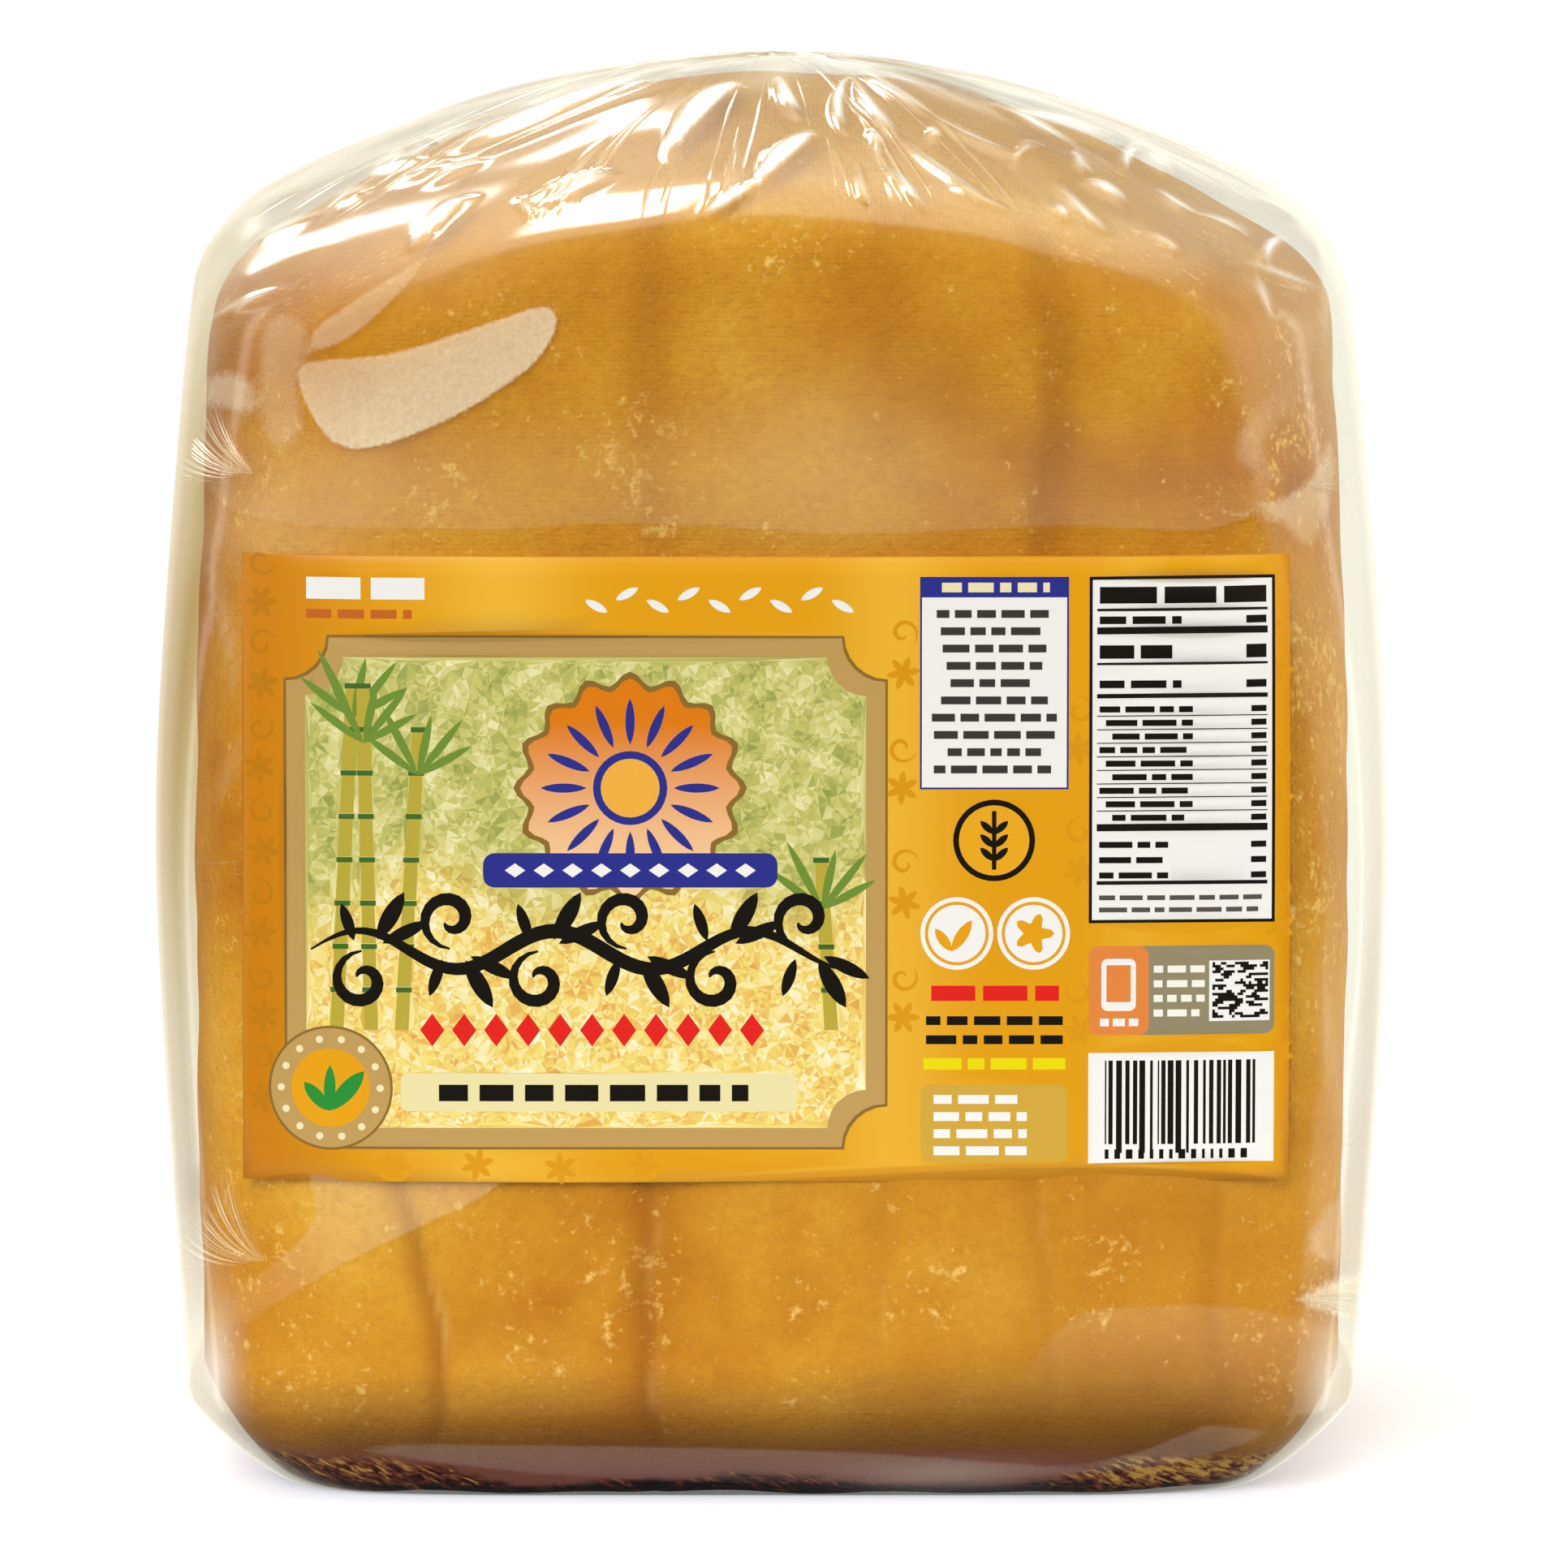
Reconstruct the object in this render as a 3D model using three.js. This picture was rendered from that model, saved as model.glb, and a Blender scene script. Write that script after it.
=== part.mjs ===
// A block of jaggery sealed in a clear wrap, with a paper label on its front face.
// Millimetres, +Z up, the labelled front towards -Y, the origin under the middle of the base.
import * as THREE from 'three';

// Wrapped block: the outer form of the film and what it holds.
const HEIGHT = 114.1; // crown above the base
const HALF_WIDTH = 47.0; // at the base and at the shoulders
const HALF_DEPTH = 42.6;
const SIDE_TENT = 2.55; // how far the film stands out from the sides where it stands out most
const TENT_MIDDLE = 0.545; // the share of the height where it does
const TENT_POWER = 1.3; // above 1 the tent dies away gently towards the base and shoulders

// Plan outline: a superellipse, near square for most of the height and rounder at the crown.
const BODY_SQUARENESS = 7.0;
const CROWN_SQUARENESS = 3.7;
const ROUNDING_START = 0.51; // share of the height where the plan starts to round off

// Base edge: the film cuts across the block's bottom corner almost straight.
const FOOT_SHARE = 0.847; // flat foot, as a share of the half width and half depth
const FOOT_RISE = 8.6;
const FOOT_POWER = 1.23; // 1 is a straight chamfer, 2 a round one

// Shoulder: the rounded edge where the sides turn into the dome.
const DOME_SHARE = 0.859;
const SHOULDER_RISE = 6.0;
const SHOULDER_POWER = 2.8;

// Dome: how far the top falls from the crown to the sides, and to the front and back.
const FALL_TO_SIDES = 13.9;
const FALL_TO_FRONT = 11.4;

// Relief of the film and of the cloth-moulded block under it.
const PLEAT_COUNT = 17; // film pleats that radiate from the crown to the shoulders
const PLEAT_DEPTH = 0.75; // from a pleat's crest down to the film between two
const PLEAT_ANGLE = 0.115; // half width of a pleat, in radians about the crown
const PLEAT_START = 0.3; // share of the way out from the crown where the pleats begin
const PLEAT_REACH = 9; // how far below the shoulder they fade out
const CREASES = [-25.7, -8.2, 19.9, 33.0]; // where the moulding cloth's folds left furrows, along X
const CREASE_DEPTH = 0.45;
const CREASE_HALF_WIDTH = 2.6;
const GATHER_HEIGHTS = [19.6, 81.0]; // where the film is pinched in at the upright corners
const GATHER_INSET = 6.6; // from the side to the middle of a pinch
const GATHER_DEPTH = 0.7;
const GATHER_RADIUS = 4.2;

// Front label: paper, stuck on the outside of the film and bent round with it.
const LABEL_LEFT = -41.5;
const LABEL_WIDTH = 82.1;
const LABEL_BOTTOM = 25.9;
const LABEL_HEIGHT = 49.1;
const LABEL_THICKNESS = 0.3;
const LABEL_GAP = 0.3; // glue line between film and paper

// Facets.
const AROUND = 104; // a multiple of 4, so that the widest and deepest points are corners
const CORNER_CROWDING = 0.35; // draws the facets towards the plan's rounded corners
const FOOT_RINGS = 4;
const FOOT_EDGE_RINGS = 5;
const SIDE_RINGS = 14;
const SHOULDER_RINGS = 6;
const DOME_RINGS = 8;
const LABEL_COLUMNS = 30;
const LABEL_ROWS = 8;
const FRONT_FACE_TURNS = 4;

const WRAPPED_JAGGERY = new THREE.MeshStandardMaterial({ color: '#c98a2a', roughness: 0.3, metalness: 0 });
const LABEL_PAPER = new THREE.MeshStandardMaterial({ color: '#e7a517', roughness: 0.45, metalness: 0 });

function clamp01(t) {
  return Math.min(1, Math.max(0, t));
}

function smooth(t) {
  const s = clamp01(t);
  return s * s * (3 - 2 * s);
}

function bell(distance, halfWidth) {
  return Math.exp(-((distance / halfWidth) ** 2));
}

// A repeatable draw between 0 and 1 for the k-th thing of a kind.
function draw(k, kind) {
  const value = Math.sin(12.9898 * (k + 1) + 78.233 * kind) * 43758.5453;
  return value - Math.floor(value);
}

// How square the plan is at a share t of the height.
function squareness(t) {
  const blend = smooth((t - ROUNDING_START) / (1 - ROUNDING_START));
  return BODY_SQUARENESS + (CROWN_SQUARENESS - BODY_SQUARENESS) * blend;
}

// Half width of the plan at a share t of the height, with the film's tent at the sides.
function halfWidthAt(t) {
  const middled = clamp01(t) ** (Math.log(0.5) / Math.log(TENT_MIDDLE));
  return HALF_WIDTH + SIDE_TENT * Math.sin(Math.PI * middled) ** TENT_POWER;
}

// A level is a height before the dome's fall; the fall lowers it in proportion.
function heightAt(level, x, y) {
  const fall = FALL_TO_SIDES * (x / HALF_WIDTH) ** 2 + FALL_TO_FRONT * (y / HALF_DEPTH) ** 2;
  return level * (1 - fall / HEIGHT);
}

// Rings from the middle of the foot, out, up and over to just short of the crown.
// share is the distance out from the axis, as a share of the plan at that level.
function ringProfile() {
  const rings = [];
  for (let i = 1; i < FOOT_RINGS; i += 1) {
    rings.push({ share: (FOOT_SHARE * i) / FOOT_RINGS, level: 0 });
  }
  for (let i = 0; i < FOOT_EDGE_RINGS; i += 1) {
    const a = ((Math.PI / 2) * i) / FOOT_EDGE_RINGS;
    rings.push({
      share: FOOT_SHARE + (1 - FOOT_SHARE) * Math.sin(a) ** (2 / FOOT_POWER),
      level: FOOT_RISE * (1 - Math.cos(a) ** (2 / FOOT_POWER)),
    });
  }
  const shoulderLevel = HEIGHT - SHOULDER_RISE;
  for (let i = 0; i < SIDE_RINGS; i += 1) {
    rings.push({ share: 1, level: FOOT_RISE + ((shoulderLevel - FOOT_RISE) * i) / SIDE_RINGS });
  }
  for (let i = 0; i < SHOULDER_RINGS; i += 1) {
    const a = ((Math.PI / 2) * i) / SHOULDER_RINGS;
    rings.push({
      share: DOME_SHARE + (1 - DOME_SHARE) * Math.cos(a) ** (2 / SHOULDER_POWER),
      level: shoulderLevel + SHOULDER_RISE * Math.sin(a) ** (2 / SHOULDER_POWER),
    });
  }
  for (let i = 0; i < DOME_RINGS; i += 1) {
    rings.push({ share: DOME_SHARE * (1 - i / DOME_RINGS), level: HEIGHT });
  }
  return rings;
}

function wrapPoint(ring, angle) {
  const t = ring.level / HEIGHT;
  const n = squareness(t);
  const c = Math.cos(angle);
  const s = Math.sin(angle);
  const radius = (Math.abs(c) ** n + Math.abs(s) ** n) ** (-1 / n);
  const x = halfWidthAt(t) * ring.share * radius * c;
  const y = HALF_DEPTH * ring.share * radius * s;
  return [x, y, heightAt(ring.level, x, y)];
}

// The hollows between the film's pleats, which stand at uneven angles about the crown.
function pleatHollows(x, y, z) {
  const out = Math.hypot(x / HALF_WIDTH, y / HALF_DEPTH);
  const belowDome = heightAt(HEIGHT, x, y) - z;
  const fade = smooth((out - PLEAT_START) / PLEAT_START) * (1 - smooth(belowDome / PLEAT_REACH));
  if (fade === 0) return 0;
  const angle = Math.atan2(y / HALF_DEPTH, x / HALF_WIDTH);
  let crest = 0;
  for (let k = 0; k < PLEAT_COUNT; k += 1) {
    const middle = (2 * Math.PI * (k + 0.25 + 0.5 * draw(k, 1))) / PLEAT_COUNT;
    const away = Math.atan2(Math.sin(angle - middle), Math.cos(angle - middle));
    crest = Math.max(crest, (0.5 + 0.5 * draw(k, 2)) * bell(away, PLEAT_ANGLE));
  }
  return PLEAT_DEPTH * (1 - crest) * fade;
}

// Furrows down the front and back, where the folds of the moulding cloth pressed in.
function creases(x, y, z) {
  const onFace = smooth((Math.abs(y) / HALF_DEPTH - 0.9) / 0.08);
  const upright = smooth((z - FOOT_RISE) / FOOT_RISE) * smooth((HEIGHT - FALL_TO_SIDES - z) / FALL_TO_SIDES);
  let depth = 0;
  for (const middle of CREASES) {
    depth = Math.max(depth, bell(x - middle, CREASE_HALF_WIDTH));
  }
  return CREASE_DEPTH * depth * onFace * upright;
}

// Pinches near the four upright corners, where the slack film is gathered.
function gathers(x, y, z) {
  let depth = 0;
  for (const height of GATHER_HEIGHTS) {
    const away = Math.hypot(Math.abs(x) - (HALF_WIDTH - GATHER_INSET), z - height);
    depth = Math.max(depth, bell(away, GATHER_RADIUS));
  }
  return GATHER_DEPTH * depth * smooth(Math.abs(y) / HALF_DEPTH);
}

// A closed skin: rings of points, joined by two triangles a facet, with a fan at each end.
function skinGeometry(rings) {
  const positions = [0, 0, 0];
  for (const ring of rings) {
    for (let j = 0; j < AROUND; j += 1) {
      const even = (2 * Math.PI * j) / AROUND;
      positions.push(...wrapPoint(ring, even + (CORNER_CROWDING * Math.sin(4 * even)) / 4));
    }
  }
  positions.push(0, 0, HEIGHT);
  const crown = positions.length / 3 - 1;
  const lastRing = crown - AROUND;
  const triangles = [];
  for (let j = 0; j < AROUND; j += 1) {
    const next = (j + 1) % AROUND;
    triangles.push(0, 1 + next, 1 + j);
    for (let i = 0; i < rings.length - 1; i += 1) {
      const low = 1 + i * AROUND;
      const high = low + AROUND;
      triangles.push(low + j, low + next, high + j);
      triangles.push(low + next, high + next, high + j);
    }
    triangles.push(lastRing + j, lastRing + next, crown);
  }
  const geometry = new THREE.BufferGeometry();
  geometry.setAttribute('position', new THREE.Float32BufferAttribute(positions, 3));
  geometry.setIndex(triangles);
  geometry.computeVertexNormals();
  return geometry;
}

// The relief lies along the skin's own normals; the flat foot and the crown have none.
function wrappedBlockGeometry() {
  const geometry = skinGeometry(ringProfile());
  const position = geometry.attributes.position;
  const normal = geometry.attributes.normal;
  for (let i = 0; i < position.count; i += 1) {
    const point = new THREE.Vector3().fromBufferAttribute(position, i);
    const { x, y, z } = point;
    const relief = -pleatHollows(x, y, z) - creases(x, y, z) - gathers(x, y, z);
    if (z > FOOT_RISE) {
      point.addScaledVector(new THREE.Vector3().fromBufferAttribute(normal, i), relief);
      position.setXYZ(i, point.x, point.y, point.z);
    }
  }
  geometry.computeVertexNormals();
  return geometry;
}

// The wrapped block's front face at x and height z, before its relief. The dome's fall at that
// depth gives the level, and the plan at that level gives the depth: a few turns settle it.
function frontFace(x, z) {
  let y = -HALF_DEPTH;
  for (let turn = 0; turn < FRONT_FACE_TURNS; turn += 1) {
    const t = z / heightAt(1, x, y) / HEIGHT;
    const n = squareness(t);
    y = -HALF_DEPTH * (1 - Math.abs(x / halfWidthAt(t)) ** n) ** (1 / n);
  }
  return y;
}

// The label: an inner and an outer sheet of points that follow the front face, closed at the rim.
function labelGeometry() {
  const columns = LABEL_COLUMNS + 1;
  const sheetSize = columns * (LABEL_ROWS + 1);
  const positions = [];
  for (const offset of [LABEL_GAP, LABEL_GAP + LABEL_THICKNESS]) {
    for (let i = 0; i <= LABEL_ROWS; i += 1) {
      const z = LABEL_BOTTOM + (LABEL_HEIGHT * i) / LABEL_ROWS;
      for (let j = 0; j < columns; j += 1) {
        const x = LABEL_LEFT + (LABEL_WIDTH * j) / LABEL_COLUMNS;
        positions.push(x, frontFace(x, z) - offset, z);
      }
    }
  }
  const triangles = [];
  const addFacet = (a, b, c, d) => triangles.push(a, b, c, a, c, d);
  for (let i = 0; i < LABEL_ROWS; i += 1) {
    for (let j = 0; j < LABEL_COLUMNS; j += 1) {
      const inner = i * columns + j;
      const outer = sheetSize + inner;
      addFacet(inner, inner + columns, inner + columns + 1, inner + 1);
      addFacet(outer, outer + 1, outer + columns + 1, outer + columns);
    }
  }
  for (let j = 0; j < LABEL_COLUMNS; j += 1) {
    const top = LABEL_ROWS * columns + j;
    addFacet(j, j + 1, sheetSize + j + 1, sheetSize + j);
    addFacet(top, sheetSize + top, sheetSize + top + 1, top + 1);
  }
  for (let i = 0; i < LABEL_ROWS; i += 1) {
    const left = i * columns;
    const right = left + LABEL_COLUMNS;
    addFacet(left, sheetSize + left, sheetSize + left + columns, left + columns);
    addFacet(right, right + columns, sheetSize + right + columns, sheetSize + right);
  }
  const geometry = new THREE.BufferGeometry();
  geometry.setAttribute('position', new THREE.Float32BufferAttribute(positions, 3));
  geometry.setIndex(triangles);
  geometry.computeVertexNormals();
  return geometry;
}

function namedMesh(name, geometry, material) {
  const mesh = new THREE.Mesh(geometry, material);
  mesh.name = name;
  return mesh;
}

const pack = new THREE.Group();
pack.add(namedMesh('wrapped_block', wrappedBlockGeometry(), WRAPPED_JAGGERY));
pack.add(namedMesh('front_label', labelGeometry(), LABEL_PAPER));
// The label makes the pack deeper at the front, so the pack moves back to centre its footprint.
pack.position.y = (LABEL_GAP + LABEL_THICKNESS) / 2;

export default pack;
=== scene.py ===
"""A block of jaggery in a clear sealed wrap, with a printed paper label on its front.

Sizes are millimetres until a mesh is made. +Z is up and the labelled front faces -Y.
"""
import math
from collections import namedtuple
from functools import partial

import bpy
import numpy as np
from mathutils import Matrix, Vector
from mathutils.geometry import delaunay_2d_cdt


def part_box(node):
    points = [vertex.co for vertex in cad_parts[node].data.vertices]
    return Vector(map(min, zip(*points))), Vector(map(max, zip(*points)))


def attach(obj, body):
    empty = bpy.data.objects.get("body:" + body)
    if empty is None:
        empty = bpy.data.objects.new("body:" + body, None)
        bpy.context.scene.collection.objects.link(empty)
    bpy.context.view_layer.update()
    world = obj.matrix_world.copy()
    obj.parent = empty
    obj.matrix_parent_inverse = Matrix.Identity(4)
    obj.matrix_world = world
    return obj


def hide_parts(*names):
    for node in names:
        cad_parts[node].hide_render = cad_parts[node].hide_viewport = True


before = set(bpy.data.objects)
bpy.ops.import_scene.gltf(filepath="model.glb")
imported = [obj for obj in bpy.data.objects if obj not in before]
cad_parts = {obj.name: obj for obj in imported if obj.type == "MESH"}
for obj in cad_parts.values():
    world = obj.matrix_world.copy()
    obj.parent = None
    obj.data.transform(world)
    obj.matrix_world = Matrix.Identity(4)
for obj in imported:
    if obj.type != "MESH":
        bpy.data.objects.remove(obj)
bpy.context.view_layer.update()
MM = 0.001
DRAWS = np.random.default_rng(1947)

# ---------------------------------------------------------------- forms

# A loaf-like form: a superellipse plan that gets rounder upwards, a cut-back foot, a rounded
# shoulder and a domed top. Lengths are mm, shares are parts of the half width and half depth.
Form = namedtuple("Form", [
    "half_width", "side_tent", "tent_middle", "tent_power", "half_depth", "height",
    "body_squareness", "crown_squareness", "rounding_start",
    "foot_share", "foot_rise", "foot_power", "dome_share", "shoulder_rise", "shoulder_power",
    "fall_to_sides", "fall_to_front", "lift",
])

BLOCK_LOW, BLOCK_HIGH = (np.array(corner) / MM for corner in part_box("wrapped_block"))
LABEL_LOW, LABEL_HIGH = (np.array(corner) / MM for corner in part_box("front_label"))
SIDE_TENT = 2.55
MIDDLE_Y = (BLOCK_LOW[1] + BLOCK_HIGH[1]) / 2
FILM_INSET = 0.06  # keeps the film's relief inside the solid it stands for

FILM = Form(
    half_width=BLOCK_HIGH[0] - SIDE_TENT - FILM_INSET, side_tent=SIDE_TENT, tent_middle=0.545,
    tent_power=1.3, half_depth=(BLOCK_HIGH[1] - BLOCK_LOW[1]) / 2 - FILM_INSET,
    height=BLOCK_HIGH[2] - FILM_INSET, body_squareness=7.0, crown_squareness=3.7,
    rounding_start=0.51, foot_share=0.847, foot_rise=8.6, foot_power=1.23,
    dome_share=0.859, shoulder_rise=6.0, shoulder_power=2.8,
    fall_to_sides=13.9, fall_to_front=11.4, lift=0.0,
)
JAGGERY = FILM._replace(
    half_width=45.8, side_tent=0.7, half_depth=FILM.half_depth - 0.45, height=FILM.height - 1.6,
    foot_share=0.855, foot_rise=12.0, foot_power=1.3, dome_share=0.90, shoulder_rise=5.0,
    shoulder_power=3.2, fall_to_sides=16.6, fall_to_front=11.8, lift=0.05,
)
# Rows of points on the foot, its edge, the side, the shoulder and the dome. Columns round about, and
# how crowded they are towards the corners and the front.
FILM_ROWS, FILM_COLUMNS = (6, 12, 80, 34, 110), (410, 0.12, 0.55)
JAGGERY_ROWS, JAGGERY_COLUMNS = (6, 18, 104, 26, 78), (420, 0.25, 0.25)


def smooth(t):
    """0 below 0, 1 above 1, and t*t*(3 - 2t) between."""
    s = np.clip(t, 0.0, 1.0)
    return s * s * (3.0 - 2.0 * s)


def bell(distance, half_width):
    """exp(-(distance / half_width)^2)."""
    return np.exp(-(distance / half_width) ** 2)


def bell_sum(u, v, marks):
    """The sum of broad bells: each is across, up, half width, half height, how much."""
    return sum(much * bell(np.hypot((u - across) / wide, (v - up) / high), 1.0)
               for across, up, wide, high, much in marks)


def profile_rows(form, counts):
    """Rows from the foot's middle, out, up and over to just short of the crown, as two arrays:
    the share of the plan, and the level, which is the height before the dome's fall. Corner and
    shoulder are arcs of superellipses: share = s0 + (1-s0) sin(a)^(2/p), level = h (1-cos(a)^(2/p)).
    """
    foot, edge, side, shoulder, dome = counts
    quarter = math.pi / 2
    a = np.arange(edge) / edge * quarter
    b = np.arange(shoulder) / shoulder * quarter
    top = form.height - form.shoulder_rise
    share = np.concatenate([
        form.foot_share * np.arange(1, foot) / foot,
        form.foot_share + (1 - form.foot_share) * np.sin(a) ** (2 / form.foot_power),
        np.ones(side),
        form.dome_share + (1 - form.dome_share) * np.cos(b) ** (2 / form.shoulder_power),
        form.dome_share * (1 - np.arange(dome) / dome),
    ])
    level = np.concatenate([
        np.zeros(foot - 1),
        form.foot_rise * (1 - np.cos(a) ** (2 / form.foot_power)),
        form.foot_rise + (top - form.foot_rise) * np.arange(side) / side,
        top + form.shoulder_rise * np.sin(b) ** (2 / form.shoulder_power),
        np.full(dome, form.height),
    ])
    return share, level


def column_angles(count, corner_crowding, front_crowding):
    """Angles about +Z, crowded towards the plan's corners and towards the front at -Y:
    e + c/4 sin(4e) - f cos(e), with e even."""
    even = np.arange(count) / count * 2 * math.pi
    return even + corner_crowding / 4 * np.sin(4 * even) - front_crowding * np.cos(even)


def squareness(form, t):
    """The plan's exponent at a share t of the height."""
    blend = smooth((t - form.rounding_start) / (1 - form.rounding_start))
    return form.body_squareness + (form.crown_squareness - form.body_squareness) * blend


def half_width_at(form, t):
    """Half width with the side tent: w + tent sin(pi t^q)^p, q putting its middle at tent_middle."""
    middled = np.clip(t, 0, 1) ** (math.log(0.5) / math.log(form.tent_middle))
    return form.half_width + form.side_tent * np.sin(math.pi * middled) ** form.tent_power


def dome_factor(form, x, y):
    """What the dome's fall leaves of a height: 1 - (fs (x/w)^2 + ff (y/d)^2) / height."""
    fall = form.fall_to_sides * (x / form.half_width) ** 2
    fall += form.fall_to_front * (y / form.half_depth) ** 2
    return 1 - fall / form.height


def loaf_grid(form, share, level, angles):
    """Points (rows, columns, 3): x = w rho cos(a) r, y = d rho sin(a) r, z = level * dome factor,
    where r = (|cos a|^n + |sin a|^n)^(-1/n)."""
    t = (level / form.height)[:, None]
    n = squareness(form, t)
    c, s = np.cos(angles)[None, :], np.sin(angles)[None, :]
    r = (np.abs(c) ** n + np.abs(s) ** n) ** (-1 / n)
    x = half_width_at(form, t) * share[:, None] * r * c
    y = form.half_depth * share[:, None] * r * s
    z = level[:, None] * dome_factor(form, x, y)
    return np.stack([x, y, z], axis=-1)


def grid_normals(grid):
    """Unit normals by central differences: the columns wrap round, the rows run foot to crown."""
    across = np.roll(grid, -1, axis=1) - np.roll(grid, 1, axis=1)
    up = np.gradient(grid, axis=0)
    normal = np.cross(across, up)
    return normal / np.maximum(np.linalg.norm(normal, axis=-1, keepdims=True), 1e-9)


# ---------------------------------------------------------------- meshes

def add_mesh(name, points_mm, faces, material, body="root"):
    """A smooth-shaded object at the origin, its place in its mesh, from mm points and faces."""
    mesh = bpy.data.meshes.new(name)
    mesh.from_pydata((np.asarray(points_mm) * MM).tolist(), [], faces)
    mesh.shade_smooth()
    mesh.validate()
    obj = bpy.data.objects.new(name, mesh)
    bpy.context.scene.collection.objects.link(obj)
    mesh.materials.append(material)
    if body:
        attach(obj, body)
    return obj


def closed_skin(grid):
    """Points and faces of a grid of rings, foot to crown, closed by a fan at each pole."""
    rows, columns, _ = grid.shape
    poles = np.array([[0, 0, grid[0, :, 2].mean()], [0, 0, grid[-1, :, 2].max()]])
    points = np.concatenate([grid.reshape(-1, 3), poles])
    i, j = np.meshgrid(np.arange(rows - 1), np.arange(columns), indexing="ij")
    k = (j + 1) % columns
    quads = np.stack([i * columns + j, i * columns + k, (i + 1) * columns + k, (i + 1) * columns + j], -1)
    around = np.arange(columns)
    following = (around + 1) % columns
    foot_pole, crown_pole = rows * columns, rows * columns + 1
    foot = np.stack([following, around, np.full(columns, foot_pole)], -1)
    last = (rows - 1) * columns
    crown = np.stack([last + around, last + following, np.full(columns, crown_pole)], -1)
    return points, quads.reshape(-1, 4).tolist() + foot.tolist() + crown.tolist()


def set_attributes(obj, **grids):
    """Numbers or vectors for each point of a closed skin, for its material to read. The poles take
    the mean of the rings next to them."""
    for name, grid in grids.items():
        kind, field = ("FLOAT_VECTOR", "vector") if grid.ndim == 3 else ("FLOAT", "value")
        poles = np.stack([grid[0].mean(axis=0), grid[-1].mean(axis=0)])
        values = np.concatenate([grid.reshape(-1, *grid.shape[2:]), poles]).astype(np.float32)
        attribute = obj.data.attributes.new(name, kind, "POINT")
        attribute.data.foreach_set(field, values.reshape(-1))


# ---------------------------------------------------------------- where marks lie

# Folds, haze, loose sugar and changes of tone are placed as they are seen from the front: on an
# upright plane through the pack's middle, from an eye far in front and a little above. The back gets
# the same marks, turned half way round.
EYE_DISTANCE = 750.0
EYE_RISE = math.radians(5.0)
EYE_AIM = 56.0


def seen(points):
    """Each point's place (across, up) in mm as seen on the middle plane. Points behind the middle are
    turned half way round first."""
    x, y, z = points[..., 0], points[..., 1] - MIDDLE_Y, points[..., 2] - EYE_AIM
    turned = np.where(y > 0, -1.0, 1.0)
    x, y = x * turned, y * turned
    depth = EYE_DISTANCE + y * math.cos(EYE_RISE) - z * math.sin(EYE_RISE)
    scale = EYE_DISTANCE / depth
    return x * scale, (z * math.cos(EYE_RISE) + y * math.sin(EYE_RISE)) * scale + EYE_AIM


def ridge(u, v, fold):
    """A tapering ridge along a bowed line: cross-section bell(distance, half width), length
    profile 4s(1-s) to a power; the bow is a parabola of height bow * length."""
    u0, v0, u1, v1, bow, half_width = fold[:6]
    du, dv = u1 - u0, v1 - v0
    length = math.hypot(du, dv)
    s = ((u - u0) * du + (v - v0) * dv) / length**2
    side = ((v - v0) * du - (u - u0) * dv) / length - bow * length * 4 * s * (1 - s)
    along = np.clip(4 * s * (1 - s), 0, None) ** 0.7
    taper = 0.35 + 0.65 * np.clip(along, 0, 1)
    return np.clip(along, 0, 1) * bell(side, half_width * taper)


def smooth_loop(points, per_span=10):
    """A closed Catmull-Rom curve through the points; a point given twice makes a corner."""
    p = np.array(points, dtype=float)
    before, after, beyond = np.roll(p, 1, 0), np.roll(p, -1, 0), np.roll(p, -2, 0)
    t = (np.arange(per_span) / per_span)[None, :, None]
    a, b, c, d = before[:, None], p[:, None], after[:, None], beyond[:, None]
    bends = (2 * a - 5 * b + 4 * c - d) * t**2 + (3 * b - a - 3 * c + d) * t**3
    return (b + 0.5 * ((c - a) * t + bends)).reshape(-1, 2)


def inside_distance(u, v, loop):
    """Signed distance to a closed polyline, positive inside, by segment and by crossing count."""
    shape = u.shape
    q = np.stack([u.ravel(), v.ravel()], -1)
    best = np.full(len(q), 1e9)
    crossings = np.zeros(len(q), dtype=int)
    for a, b in zip(loop, np.roll(loop, -1, 0)):
        edge = b - a
        if not edge.any():
            continue
        s = np.clip(((q - a) @ edge) / (edge @ edge), 0, 1)
        best = np.minimum(best, np.hypot(*(q - a - s[:, None] * edge).T))
        spans = (a[1] > q[:, 1]) != (b[1] > q[:, 1])
        if edge[1]:
            crossings += spans & (q[:, 0] < a[0] + (q[:, 1] - a[1]) / edge[1] * edge[0])
    return np.where(crossings % 2 == 1, best, -best).reshape(shape)


# ---------------------------------------------------------------- the film's relief

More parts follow.
